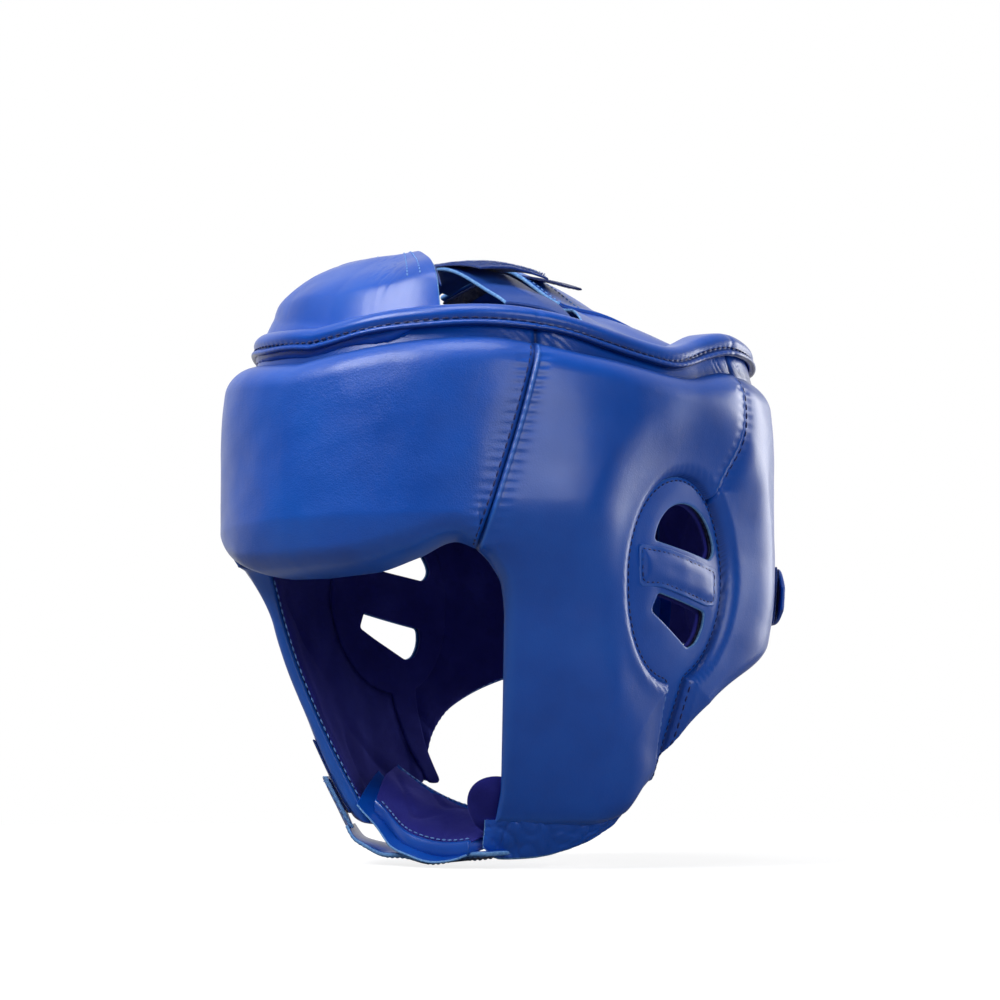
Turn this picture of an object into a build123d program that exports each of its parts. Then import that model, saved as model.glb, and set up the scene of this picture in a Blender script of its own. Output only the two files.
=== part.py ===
"""Boxing headgear: a padded open-face head guard with hook-and-loop crown, chin and nape straps.

Frame: origin in the middle of the head cavity at the height of the ear bridges, +Z up, face towards -Y,
+X towards the wearer's left ear. Millimetres. A place on the wall is given by its plan angle, in degrees
from the face towards the wearer's left, its height, and its depth, the distance outside the lining.
"""
from build123d import *
import math
import os

os.makedirs("parts", exist_ok=True)

# ---------------------------------------------------------------- driving dimensions
HALF_WIDTH = 81.0        # head cavity, half its width at the ears
FRONT = 99.0             # head cavity, centre to forehead
BACK = 103.0             # head cavity, centre to back of head
SQUARENESS = 2.3         # exponent of the plan outline, 2 is an ellipse
TOP_TAPER = 5.0          # how far the cavity closes in at the rim
WIDE_ABOVE = 60.0        # height where that taper starts
JAW_LOW = 80.0           # depth below the ears where the jaw sizes are given
JAW_NARROWING = 22.0     # half width lost there
FACE_TURN = 20.0         # height where the front and back outlines start to close in
FACE_NARROWING = 44.0    # lost in front, 100 mm below that height
NAPE_NARROWING = 43.0    # lost behind, 100 mm below that height

LINING = 1.2             # suede lining
LEATHER = 1.4            # cover leather
LINER_FOAM = 7.6         # depth of the outer face of the inner foam
CLEAR = 0.2              # space left between neighbouring layers
COLLAR_DEPTH = 9.1       # outer face of the collar leather above the pads
BINDING_DEPTH = 12.6     # outer face of the rim binding
BINDING_HEIGHT = 9.0
ROLL = 11.0              # radius of a pad's rolled top or bottom edge
EDGE_ROLL = 13.0         # the same on the cheeks' front edges
EDGE_DEPTH = 6.5         # wall thickness at the face opening's edges
SEAM_GAP = 0.6           # degrees between two panels sewn edge to edge

EAR_Y = 12.5             # centre of the ear panels
EAR_HALF = (33.0, 40.5)  # half length and half height of the ear panels
EAR_DEPTH = 5.0          # outer face of the ear panels
APEX = 133.0             # height of the crown
REACH = 200.0            # length of the cutting tools
ALL_ROUND = 179.8        # half the sweep of a band that meets itself at the back
OVERLAP = 0.1            # how much further round a hollowing tool reaches
NAPE_SLOT = 14.0         # width of the slot between the back pads at the nape
NAPE_SLOT_TOP = 22.0     # height of its closed end
NAPE_SLOT_LONG = 90.0

# Outlines on the wall, each a curve through a few stations.
RIM = ((0, 95.5), (38, 101), (90, 91.5), (122, 103), (180, 101))            # angle, height
PAD_TOP = ((0, 82.5), (38, 88.5), (62, 84), (95, 80.5), (122, 88), (180, 87))
BROW = ((0, -1.5), (14, -0.5), (25, 4.5), (33, 10), (37.5, 7.5))
CHEEK_LOW = ((41, -96), (75, -97), (90, -94), (98, -85), (107, -78))
BACK_LOW = ((105, -80), (113, -59), (122, -46.5), (140, -33), (180, -16))
TEMPLE = ((7.5, 37.5), (24, 40), (56, 44.8), (88, 49), (104, 51.2))         # height, angle
FACE_EDGE = ((-97, 41), (-80, 43.6), (-18, 43.8), (-6, 43), (2, 40.5), (7.5, 37.5))
SIDE_REAR = ((-97, 107), (-78, 106), (-64, 101.5), (-45, 98.5), (0, 104), (40, 113), (57, 117),
             (80, 119.5), (104, 121))
BACK_FRONT = ((-82, 112), (-60, 107.5), (-43, 107), (0, 110), (40, 113.5), (57, 117.5), (80, 120),
              (104, 121.5))
PAD_DEPTH = ((0, 22), (32, 19.5), (60, 19.5), (100, 17.5), (125, 18), (145, 20), (180, 20))
CHEEK_DEPTH = ((41, 6.5), (50, 7.5), (60, 10), (75, 16), (100, 17))


def curve(stations, x):
    """Smooth value at x of the curve through the stations, level at its ends."""
    if x <= stations[0][0]:
        return stations[0][1]
    if x >= stations[-1][0]:
        return stations[-1][1]
    last = len(stations) - 1
    i = max(k for k in range(last) if stations[k][0] <= x)

    def slope(k):
        if k in (0, last):
            k = 1 if k == 0 else last
            return (stations[k][1] - stations[k - 1][1]) / (stations[k][0] - stations[k - 1][0])
        before = (stations[k][1] - stations[k - 1][1]) / (stations[k][0] - stations[k - 1][0])
        after = (stations[k + 1][1] - stations[k][1]) / (stations[k + 1][0] - stations[k][0])
        return 2 * before * after / (before + after) if before * after > 0 else 0.0

    span = stations[i + 1][0] - stations[i][0]
    s = (x - stations[i][0]) / span
    rise = 3 * s ** 2 - 2 * s ** 3
    return (stations[i][1] * (1 - rise) + stations[i + 1][1] * rise
            + span * (slope(i) * s * (1 - s) ** 2 - slope(i + 1) * s ** 2 * (1 - s)))


def cavity(z):
    """Half width, front and back of the head cavity at a height."""
    top = TOP_TAPER * (max(z - WIDE_ABOVE, 0.0) / (RIM[0][1] - WIDE_ABOVE)) ** 2
    jaw = JAW_NARROWING * (max(-z, 0.0) / JAW_LOW) ** 1.65
    turn = max(FACE_TURN - z, 0.0) / 100.0
    return (HALF_WIDTH - top - jaw, FRONT - top - FACE_NARROWING * turn ** 1.25,
            BACK - top - NAPE_NARROWING * turn ** 2.6)


def head_point(angle, z, depth):
    """Point on the wall at a plan angle, height and depth outside the lining's inner face."""
    half, front, back = cavity(z)
    s = math.sin(math.radians(angle))
    c = math.cos(math.radians(angle))
    long = front if c > 0 else back
    r = (abs(s / half) ** SQUARENESS + abs(c / long) ** SQUARENESS) ** (-1 / SQUARENESS)
    x = r * s
    y = -r * c
    nx = math.copysign(abs(x / half) ** (SQUARENESS - 1) / half, x)
    ny = math.copysign(abs(y / long) ** (SQUARENESS - 1) / long, y)
    size = math.hypot(nx, ny)
    return (x + depth * nx / size, y + depth * ny / size, z)


def roll(distance, radius):
    """Rise of a rolled edge, from 0 at the edge to 1 one radius inside it."""
    inside = min(max(distance, 0.0), radius) / radius
    return math.sqrt(1 - (1 - inside) ** 2)


def arc_length(degrees):
    """Rough length along the wall of an angle, in mm."""
    return math.radians(degrees) * HALF_WIDTH


def low_edge(angle):
    """Height of the headgear's lower edge."""
    a = abs(angle)
    if a < 37.5:
        return curve(BROW, a)
    return curve(CHEEK_LOW, a) if a < 107 else curve(BACK_LOW, a)


def edge_depth(angle, z):
    """Depth of the pads' outer face, rolled at the lower edge and at the cheeks' front edge."""
    a = abs(angle)
    full = curve(PAD_DEPTH, a)
    if z < 20:
        share = min(max((20 - z) / 30.0, 0.0), 1.0)
        cheek = curve(CHEEK_DEPTH, a)
        if a > 37.5 and a < 107:
            full = full * (1 - share) + cheek * share
    depth = EDGE_DEPTH + (full - EDGE_DEPTH) * roll(z - low_edge(a) + 1.0, ROLL)
    if a >= 37.5 and a < 75 and z < 7.5:
        inside = arc_length(a - curve(FACE_EDGE, z)) + 1.0
        depth = EDGE_DEPTH + (depth - EDGE_DEPTH) * roll(inside, EDGE_ROLL)
    return depth


def pad_depth(angle, z):
    """Depth of the pads' outer face, rolled down to the collar at the top."""
    depth = edge_depth(angle, z)
    low = COLLAR_DEPTH + 0.6
    if depth <= low:
        return depth
    return low + (depth - low) * roll(curve(PAD_TOP, abs(angle)) - z + 0.8, ROLL)


def liner_depth(angle, z):
    """Depth of the outer face of the inner foam."""
    return min(LINER_FOAM, 0.55 * edge_depth(angle, z))


def quilt(point_at, columns=15, rows=11):
    """Closed solid between an inner and an outer curved face; point_at(u, v, side) gives their points."""
    def eased(i, n):
        return (1 - math.cos(math.pi * i / n)) / 2

    faces = []
    for side in (0, 1):
        grid = [[point_at(eased(i, columns), eased(j, rows), side) for i in range(columns + 1)]
                for j in range(rows + 1)]
        faces.append(Face.make_surface_from_array_of_points(grid, tol=0.02, min_deg=3))

    def edge_between(face, a, b):
        def miss(edge):
            ends = (edge.position_at(0), edge.position_at(1))
            straight = (ends[0] - Vector(a)).length + (ends[1] - Vector(b)).length
            swapped = (ends[0] - Vector(b)).length + (ends[1] - Vector(a)).length
            return min(straight, swapped)
        return min(face.edges(), key=miss)

    corners = ((0, 0), (1, 0), (1, 1), (0, 1))
    for k in range(4):
        start = corners[k]
        stop = corners[(k + 1) % 4]
        pair = [edge_between(faces[side], point_at(*start, side), point_at(*stop, side)) for side in (0, 1)]
        faces.append(Face.make_surface_from_curves(*pair))
    return Solid(Shell(faces))


def wall(front, rear, low, high, inner, outer, inset=0.0, hand=1, columns=15, rows=11):
    """Solid stretch of the wall. front and rear give angles by height, low and high give heights
    by angle, inner and outer give depths by angle and height; inset draws its four edges in."""
    turn = math.degrees(inset / HALF_WIDTH)

    def point_at(u, v, side):
        z = 0.0
        angle = (front(z) + rear(z)) / 2
        for _ in range(12):
            a = abs(angle)
            z = low(a) + inset + (high(a) - low(a) - 2 * inset) * v
            angle = front(z) + turn + (rear(z) - front(z) - 2 * turn) * u
        depth = outer(angle, z) if side else inner(angle, z)
        x, y, height = head_point(angle, z, depth)
        return (hand * x, y, height)

    return quilt(point_at, columns, rows)


def level(value):
    """The same depth everywhere."""
    return lambda angle, z: value


def inside_of(depth, by):
    """The depth, less a thickness, but never inside the inner foam."""
    return lambda angle, z: max(depth(angle, z) - by, liner_depth(angle, z) + 3 * CLEAR)


def above_liner(angle, z):
    return liner_depth(angle, z) + 2 * CLEAR


def rim_height(angle):
    return curve(RIM, abs(angle))


def wall_top(angle):
    """Upper edge of the linings and inner foam, under the rim binding."""
    return rim_height(angle) - LEATHER - 2 * CLEAR


def pad_top(angle):
    return curve(PAD_TOP, abs(angle))


# ---------------------------------------------------------------- the five padded zones
def temple(z):
    return curve(TEMPLE, z)


def side_front(z):
    return (temple(z) if z > 7.5 else curve(FACE_EDGE, z)) + SEAM_GAP


def side_rear(z):
    return curve(SIDE_REAR, z) - SEAM_GAP


def back_front(z):
    return curve(BACK_FRONT, z) + SEAM_GAP


def back_rear(z):
    return 180.0 - SEAM_GAP


ZONES = {
    "forehead": (lambda z: -temple(z) + SEAM_GAP, lambda z: temple(z) - SEAM_GAP, 1, 21),
    "left_side": (side_front, side_rear, 1, 21),
    "right_side": (side_front, side_rear, -1, 21),
    "left_back": (back_front, back_rear, 1, 15),
    "right_back": (back_front, back_rear, -1, 15),
}


def zone_low(name):
    """Lower edge of a zone, kept inside that zone's own outline."""
    if name == "forehead":
        return lambda a: curve(BROW, a)
    return (lambda a: curve(CHEEK_LOW, a)) if "side" in name else (lambda a: curve(BACK_LOW, a))


def ear_cutter(hand, margin):
    """Oval prism through one ear panel."""
    with BuildPart() as cutter:
        with BuildSketch(Plane.YZ):
            with Locations((EAR_Y, 0)):
                Ellipse(EAR_HALF[0] + margin, EAR_HALF[1] + margin)
        extrude(amount=hand * REACH)
    return cutter.part


def nape_cutter(margin):
    """Slot prism that parts the two back pads at the nape."""
    with BuildPart() as cutter:
        with BuildSketch(Plane.XZ):
            with Locations((0, NAPE_SLOT_TOP - NAPE_SLOT_LONG / 2)):
                SlotOverall(NAPE_SLOT_LONG + 2 * margin, NAPE_SLOT + 2 * margin, rotation=90)
        extrude(amount=-REACH)
    return cutter.part


def zone_cutters(name, hand, margin):
    """Tools that open a zone for its ear panel and for the nape slot."""
    tools = [] if name == "forehead" else [ear_cutter(hand, margin)]
    return tools + [nape_cutter(margin)] if "back" in name else tools


def cut_away(tools):
    """Take every tool out of the part being built."""
    for tool in tools:
        add(tool, mode=Mode.SUBTRACT)


def save(piece, name):
    """Label a finished piece and write it."""
    piece.label = name
    export_step(piece, "parts/" + name + ".step")


for zone, (zone_front, zone_rear, side_sign, zone_columns) in ZONES.items():
    edge = zone_low(zone)
    open_cuts = zone_cutters(zone, side_sign, 0.0)
    foam_cuts = zone_cutters(zone, side_sign, 2 * CLEAR)
    pad_cuts = zone_cutters(zone, side_sign, LEATHER + CLEAR)
    hollow_cuts = zone_cutters(zone, side_sign, LEATHER)

    with BuildPart() as lining:
        add(wall(zone_front, zone_rear, edge, wall_top, level(0), level(LINING),
                 0.0, side_sign, zone_columns))
        cut_away(open_cuts)
    save(lining.part, zone + "_lining")

    with BuildPart() as liner_foam:
        add(wall(zone_front, zone_rear, edge, wall_top, level(LINING + CLEAR),
                 liner_depth, 2 * CLEAR, side_sign, zone_columns))
        cut_away(foam_cuts)
    save(liner_foam.part, zone + "_liner_foam")

    with BuildPart() as pad_foam:
        add(wall(zone_front, zone_rear, edge, pad_top, above_liner, inside_of(pad_depth, LEATHER + CLEAR),
                 LEATHER + CLEAR, side_sign, zone_columns))
        cut_away(pad_cuts)
    save(pad_foam.part, zone + "_pad_foam")

    with BuildPart() as pad_hollow:
        add(wall(zone_front, zone_rear, edge, pad_top, level(LINING), inside_of(pad_depth, LEATHER),
                 LEATHER, side_sign, zone_columns))
        cut_away(hollow_cuts)

    with BuildPart() as cover:
        add(wall(zone_front, zone_rear, edge, pad_top, above_liner, pad_depth, 0.0, side_sign, zone_columns))
        cut_away(open_cuts)
        add(pad_hollow.part, mode=Mode.SUBTRACT)
    save(cover.part, zone + "_cover")

# ---------------------------------------------------------------- collar and rim
with BuildPart() as collar_band:
    add(wall(lambda z: -ALL_ROUND, lambda z: ALL_ROUND, lambda a: pad_top(a) + 2 * CLEAR,
             wall_top, level(LINER_FOAM + 2 * CLEAR), level(COLLAR_DEPTH), columns=64, rows=3))
save(collar_band.part, "collar_band")

with BuildPart() as rim_binding:
    add(wall(lambda z: -ALL_ROUND, lambda z: ALL_ROUND, lambda a: rim_height(a) - BINDING_HEIGHT,
             rim_height, level(-LEATHER), level(BINDING_DEPTH), columns=64, rows=3))
    add(wall(lambda z: -ALL_ROUND - OVERLAP, lambda z: ALL_ROUND + OVERLAP,
             lambda a: rim_height(a) - 2 * BINDING_HEIGHT, lambda a: rim_height(a) - LEATHER,
             level(-CLEAR), level(COLLAR_DEPTH + CLEAR), columns=64, rows=3), mode=Mode.SUBTRACT)
save(rim_binding.part, "rim_binding")

# ---------------------------------------------------------------- ear panels
STRIP_HEIGHTS = (-34, -50, -64, -78, -92)
EAR_SPAN = (66.0, 132.0)  # angles an ear panel's sheets reach between before they are trimmed
EAR_WALL_TOP = 46.0       # and the height they reach
EAR_MARGIN = 0.3          # how much smaller than its opening an ear panel is
BRIDGE_REACH = 20.0       # half height of a bridge before it is trimmed
BRIDGE = ((-17.5, 13), (4, 11.5), (32, 7), (42.5, 5), (42, -10), (32, -10), (0, -4), (-18, -7))


def ear_outline():
    """Oval of the ear panel with the narrow strip that runs down between cheek and back pad."""
    fore = [head_point(side_rear(z) + 1.5, z, EAR_DEPTH)[1:] for z in STRIP_HEIGHTS]
    aft = [head_point(back_front(z) - 1.5, z, EAR_DEPTH)[1:] for z in reversed(STRIP_HEIGHTS)]
    with BuildSketch(Plane.YZ) as outline:
        with Locations((EAR_Y, 0)):
            Ellipse(EAR_HALF[0] - EAR_MARGIN, EAR_HALF[1] - EAR_MARGIN)
        Polygon(*fore, *aft, align=None)
    return outline.sketch


def ear_holes():
    """The two openings over the ear, upper and lower, as seen from the wearer's left."""
    with BuildSketch(Plane.YZ) as holes:
        with BuildLine():
            Line((-3, 14.5), (32, 9.5))
            ThreePointArc((32, 9.5), (37, 10.5), (38.5, 15))
            ThreePointArc((38.5, 15), (30.5, 25.5), (14.5, 30))
            ThreePointArc((14.5, 30), (2.5, 24.5), (-3, 14.5))
        make_face()
        with BuildLine():
            Line((-0.5, -6), (32, -12))
            ThreePointArc((32, -12), (31, -19.5), (27, -25))
            Line((27, -25), (22, -26.5))
            Line((22, -26.5), (-4, -13))
            Line((-4, -13), (-0.5, -6))
        make_face()
        fillet(holes.vertices(), radius=1.2)
    return holes.sketch


def ear_layer(hand, inner, outer, outline):
    """One layer of an ear panel, cut to its outline and pierced by the two ear openings."""
    with BuildPart() as frame_tool:
        extrude(outline, amount=REACH, dir=(hand, 0, 0))
    with BuildPart() as hole_tool:
        extrude(ear_holes(), amount=REACH, dir=(hand, 0, 0))
    with BuildPart() as layer:
        add(wall(lambda z: EAR_SPAN[0], lambda z: EAR_SPAN[1],
                 lambda a: max(low_edge(a), STRIP_HEIGHTS[-1]), lambda a: EAR_WALL_TOP,
                 level(inner), level(outer), 0.0, hand, 13, 13))
        add(frame_tool.part, mode=Mode.INTERSECT)
        add(hole_tool.part, mode=Mode.SUBTRACT)
    return layer.part


EAR_LAYERS = {
    "lining": (0.0, LINING),
    "backing": (LINING + CLEAR, EAR_DEPTH - LEATHER - CLEAR),
    "panel": (EAR_DEPTH - LEATHER, EAR_DEPTH),
}

for side_name, side_sign in (("left", 1), ("right", -1)):
    for layer_name, (inner, outer) in EAR_LAYERS.items():
        save(ear_layer(side_sign, inner, outer, ear_outline()), side_name + "_ear_" + layer_name)

    with BuildPart() as bridge_tool:
        with BuildSketch(Plane.YZ):
            Polygon(*BRIDGE, align=None)
        extrude(amount=side_sign * REACH)
    with BuildPart() as ear_bridge:
        add(wall(lambda z: EAR_SPAN[0], lambda z: EAR_SPAN[1], lambda a: -BRIDGE_REACH,
                 lambda a: BRIDGE_REACH, level(EAR_DEPTH + CLEAR),
                 level(EAR_DEPTH + CLEAR + LEATHER), 0.0, side_sign, 13, 5))
        add(bridge_tool.part, mode=Mode.INTERSECT)
    save(ear_bridge.part, side_name + "_ear_bridge")

# ---------------------------------------------------------------- crown
CROWN_DEPTH = 4.0        # depth at which the crown panels leave the rim
RIM_SHARE = 0.95         # how far out the crown panels start, as a share of the crown's outline
LOOP_TOP = -1.4          # height of the loop strap's face over the crown's form
HOOK = (-1.1, 0.0)       # hook tapes, lower and upper face
FLAP = (0.2, 2.2)        # unpadded flaps
PADDED = ((0.2, 1.5), (1.6, 5.0), (5.1, 6.6))   # front flap: backing, foam, cover


def crown_height(x, y):
    """Height of the crown's form, full in front and gently sloped behind."""
    angle = math.degrees(math.atan2(x, -y))
    edge_point = head_point(angle, RIM[0][1], CROWN_DEPTH)
    share = min(math.hypot(x, y) / math.hypot(edge_point[0], edge_point[1]), 1.0)
    full = (1 - share ** 2.6) ** 0.7
    gentle = (1 - share) ** 0.9
    behind = min(max((y + 40) / 90, 0.0), 1.0)
    rim = rim_height(angle) - 1.0
    return rim + (APEX - rim) * (full * (1 - behind) + gentle * behind)


def rim_plan(angle, share=RIM_SHARE):
    """Plan point on the crown's outline, or a share of the way out to it."""
    x, y, z = head_point(angle, RIM[0][1], CROWN_DEPTH)
    return (share * x, share * y)


def between(start, stop):
    """Straight plan line from start to stop."""
    return lambda u: (start[0] + (stop[0] - start[0]) * u, start[1] + (stop[1] - start[1]) * u)


def rim_arc(first, last, share=RIM_SHARE):
    """Plan curve along the rim between two angles."""
    return lambda u: rim_plan(first + (last - first) * u, share)


def crown_panel(near, far, low, high, columns=11, rows=9):
    """Solid over a plan patch between two curves, from low to high over the crown's form."""
    def point_at(u, v, side):
        a = near(u)
        b = far(u)
        x = a[0] + (b[0] - a[0]) * v
        y = a[1] + (b[1] - a[1]) * v
        return (x, y, crown_height(x, y) + (high if side else low))
    return quilt(point_at, columns, rows)


FOLD_FRONT = between((-50, -77), (43, -79))
FREE_FRONT = between((-44, -46), (-4, -43))
FOLD_REAR = between((42, 79), (-42, 79))
FREE_REAR = between((34, -1), (-32, -3))
FOLD_RIGHT = between((-60, -40), (-62, -11))
FREE_RIGHT = between((-8, -34), (-8, -9))
BASE_LEFT = between((55, -56), (68, -30))
FREE_LEFT = between((-22, -45), (-22, -7))


def part_way(near, far, first, last):
    """The two plan curves that bound a stretch between near and far."""
    def at(share):
        def line(u):
            a = near(u)
            b = far(u)
            return (a[0] + (b[0] - a[0]) * share, a[1] + (b[1] - a[1]) * share)
        return line
    return at(first), at(last)


CROWN_PIECES = {
    "crown_front_base": (rim_arc(-38, 33), part_way(FOLD_FRONT, rim_arc(-38, 33), 0.12, 1)[0], 0.2, 5.0),
    "front_flap_backing": (FOLD_FRONT, FREE_FRONT, *PADDED[0]),
    "front_flap_foam": (*part_way(FOLD_FRONT, FREE_FRONT, 0.05, 0.95), *PADDED[1]),
    "front_flap_cover": (FOLD_FRONT, FREE_FRONT, *PADDED[2]),
    "front_flap_hook": (*part_way(FOLD_FRONT, FREE_FRONT, 0.78, 0.98), *HOOK),
    "crown_rear_base": (rim_arc(152, 208), part_way(FOLD_REAR, rim_arc(152, 208), 0.15, 1)[0], *FLAP),
    "rear_flap": (FOLD_REAR, FREE_REAR, *FLAP),
    "rear_flap_hook": (*part_way(FOLD_REAR, FREE_REAR, 0.84, 0.98), *HOOK),
    "crown_right_base": (rim_arc(-50, -84), part_way(FOLD_RIGHT, rim_arc(-50, -84), 0.2, 1)[0], *FLAP),
    "right_crown_strap": (FOLD_RIGHT, FREE_RIGHT, *FLAP),
    "right_crown_hook": (*part_way(FOLD_RIGHT, FREE_RIGHT, 0.7, 0.97), *HOOK),
    "crown_left_gusset": (rim_arc(60, 140), rim_arc(60, 140, 0.76), *FLAP),
    "crown_right_gusset": (rim_arc(-140, -88), rim_arc(-140, -88, 0.76), *FLAP),
    "left_crown_strap": (BASE_LEFT, FREE_LEFT, LOOP_TOP - 2.8, LOOP_TOP - 1.2),
    "left_crown_loop": (*part_way(BASE_LEFT, FREE_LEFT, 0.2, 0.98), LOOP_TOP - 1.1, LOOP_TOP),
}

for name, (near, far, low, high) in CROWN_PIECES.items():
    with BuildPart() as crown_piece:
        add(crown_panel(near, far, low, high))
    save(crown_piece.part, name)

# ---------------------------------------------------------------- chin
CUP_FRONT = -46.0
CUP_REAR = -12.0
CUP_LEFT = 28.0          # where the cup ends towards the left cheek
CUP_RIGHT = (-31, -46)   # where it starts at the right cheek, at its front and at its rear
CUP_LOW = -102.5         # lowest height of its upper face
CUP_BOW = 0.0075
CUP_RISE = 11.0          # how much higher its rear edge is
CUP_FOAM = 4.6
CUP_DEPTH = 6.0
CUP_LAYERS = {
    "chin_cup_lining": (0.0, LINING),
    "chin_cup_foam": (LINING + CLEAR, CUP_FOAM),
    "chin_cup_cover": (CUP_FOAM + CLEAR, CUP_DEPTH),
}


def cup_point(u, v, down):
    """Point of the chin cup: u runs from the right cheek to the cup's free end, v from front to rear."""
    x = (CUP_RIGHT[0] + (CUP_RIGHT[1] - CUP_RIGHT[0]) * v) * (1 - u) + CUP_LEFT * u
    y = CUP_FRONT + (CUP_REAR - CUP_FRONT) * v
    z = CUP_LOW + CUP_BOW * (x - 15) ** 2 * (1 - 0.35 * v) + CUP_RISE * v
    return (x, y, z - down)


for name, (top, bottom) in CUP_LAYERS.items():
    with BuildPart() as cup_layer:
        add(quilt(lambda u, v, side: cup_point(u, v, bottom if side else top), 11, 5))
    save(cup_layer.part, name)

with BuildPart() as chin_strap_base:
    add(wall(lambda z: 45.0, lambda z: 92.0, lambda a: curve(CHEEK_LOW, a) - 7.0,
             lambda a: curve(CHEEK_LOW, a) - 0.3, level(2.0), level(5.0), columns=9, rows=3))
save(chin_strap_base.part, "chin_strap_base")

STRAP_FRONT = (((0, 36), (0.3, 0), (0.6, -25), (0.82, -38), (1, -44)), ((0, -47), (0.82, -45), (1, -44)),
               ((0, -109.5), (0.3, -109), (0.6, -106), (0.82, -102), (1, -96.5)))
STRAP_REAR = (((0, 42), (0.3, 0), (0.6, -35), (0.82, -58), (1, -67)), ((0, -20), (0.82, -19), (1, -18)),
              ((0, -108.5), (0.3, -108), (0.6, -105.5), (0.82, -102.5), (1, -96.5)))
STRAP_THICK = 2.0
CHEEK_HANG = -88.0               # below this height the tab hangs straight down
END_FRONT = 47.0
END_REAR = 74.0
END_HEIGHTS = (-94.5, -77.0)
LOOP_PATCH = (0.3, 1.3)          # over the right cheek's cover
END_HOOK = (1.5, 2.5)
END_LEATHER = (2.6, 4.4)


def strap_point(u, v, side):
    """Point of the chin strap: u runs from the left cheek to the right, v from front to rear."""
    front_edge = [curve(stations, u) for stations in STRAP_FRONT]
    rear_edge = [curve(stations, u) for stations in STRAP_REAR]
    x, y, z = (a + (b - a) * v for a, b in zip(front_edge, rear_edge))
    lean = max(u - 0.6, 0.0) / 0.4
    out = STRAP_THICK * side
    return (x - out * lean * 0.8, y, z - out * (1 - 0.5 * lean))


with BuildPart() as chin_strap:
    add(quilt(strap_point, 13, 5))
save(chin_strap.part, "chin_strap")


def cheek_patch(front_angle, rear_angle, heights, depths):
    """Solid on the right cheek's cover between two depths over it."""
    def over(by):
        return lambda angle, z: pad_depth(angle, max(z, CHEEK_HANG)) + by
    return wall(lambda z: front_angle, lambda z: rear_angle, lambda a: heights[0], lambda a: heights[1],
                over(depths[0]), over(depths[1]), 0.0, -1, 9, 7)


CHIN_PIECES = {
    "chin_loop_patch": (END_FRONT + 1, END_REAR - 1, (-92.0, -62.0), LOOP_PATCH),
    "chin_end_hook": (END_FRONT + 1, END_REAR - 1, (-91.0, -78.0), END_HOOK),
    "chin_strap_end": (END_FRONT, END_REAR, END_HEIGHTS, END_LEATHER),
}
for name, (front_angle, rear_angle, heights, depths) in CHIN_PIECES.items():
    with BuildPart() as chin_piece:
        add(cheek_patch(front_angle, rear_angle, heights, depths))
    save(chin_piece.part, name)

# ---------------------------------------------------------------- nape strap
NAPE_DEPTH = 20.4        # inner face of the lowest layer on the back pads
NAPE_HEIGHTS = (-13.0, 11.0)


def nape_band(first, last, heights, inner, outer):
    """Solid band round the back between two angles, counted past 180 to the wearer's right."""
    def point_at(u, v, side):
        angle = first + (last - first) * u
        z = heights[0] + (heights[1] - heights[0]) * v
        return head_point(angle, z, NAPE_DEPTH + (outer if side else inner))
    return quilt(point_at, 13, 3)


NAPE_PIECES = {
    "nape_loop_patch": (146, 173, NAPE_HEIGHTS, 0.0, 1.0),
    "nape_strap_hook": (147, 170, (-12.0, 10.0), 1.2, 2.2),
    "nape_strap": (144, 195, NAPE_HEIGHTS, 2.3, 4.0),
    "nape_strap_anchor": (196.5, 212, NAPE_HEIGHTS, 0.0, 4.0),
}
for name, (first, last, heights, inner, outer) in NAPE_PIECES.items():
    with BuildPart() as nape_piece:
        add(nape_band(first, last, heights, inner, outer))
    save(nape_piece.part, name)
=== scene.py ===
"""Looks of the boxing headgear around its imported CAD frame.

The form helpers work in millimetres, and make_object turns them into metres. Left and right are the wearer's.
"""
import math

import bmesh
import bpy
import numpy as np
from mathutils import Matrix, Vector
from mathutils.geometry import delaunay_2d_cdt


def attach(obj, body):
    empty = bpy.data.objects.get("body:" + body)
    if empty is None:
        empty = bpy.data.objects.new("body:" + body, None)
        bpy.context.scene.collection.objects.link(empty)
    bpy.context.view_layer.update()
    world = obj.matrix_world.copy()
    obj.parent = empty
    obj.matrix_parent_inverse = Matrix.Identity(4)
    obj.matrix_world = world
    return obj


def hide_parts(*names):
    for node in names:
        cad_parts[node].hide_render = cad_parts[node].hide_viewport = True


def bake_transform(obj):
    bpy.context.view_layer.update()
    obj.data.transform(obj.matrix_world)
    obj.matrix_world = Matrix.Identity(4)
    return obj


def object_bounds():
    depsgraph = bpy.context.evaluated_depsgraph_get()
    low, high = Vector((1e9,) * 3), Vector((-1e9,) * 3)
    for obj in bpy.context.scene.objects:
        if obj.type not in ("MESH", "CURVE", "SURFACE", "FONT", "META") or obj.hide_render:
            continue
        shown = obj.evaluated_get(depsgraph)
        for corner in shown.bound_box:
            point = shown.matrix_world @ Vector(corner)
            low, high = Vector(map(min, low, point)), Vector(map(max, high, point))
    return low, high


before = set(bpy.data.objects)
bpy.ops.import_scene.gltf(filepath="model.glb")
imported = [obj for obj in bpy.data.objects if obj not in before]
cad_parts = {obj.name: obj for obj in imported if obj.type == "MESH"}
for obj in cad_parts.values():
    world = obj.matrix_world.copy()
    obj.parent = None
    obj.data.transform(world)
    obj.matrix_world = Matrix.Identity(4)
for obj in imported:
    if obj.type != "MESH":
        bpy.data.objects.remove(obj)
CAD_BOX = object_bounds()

MM = 0.001
FINE = 1.0

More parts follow.
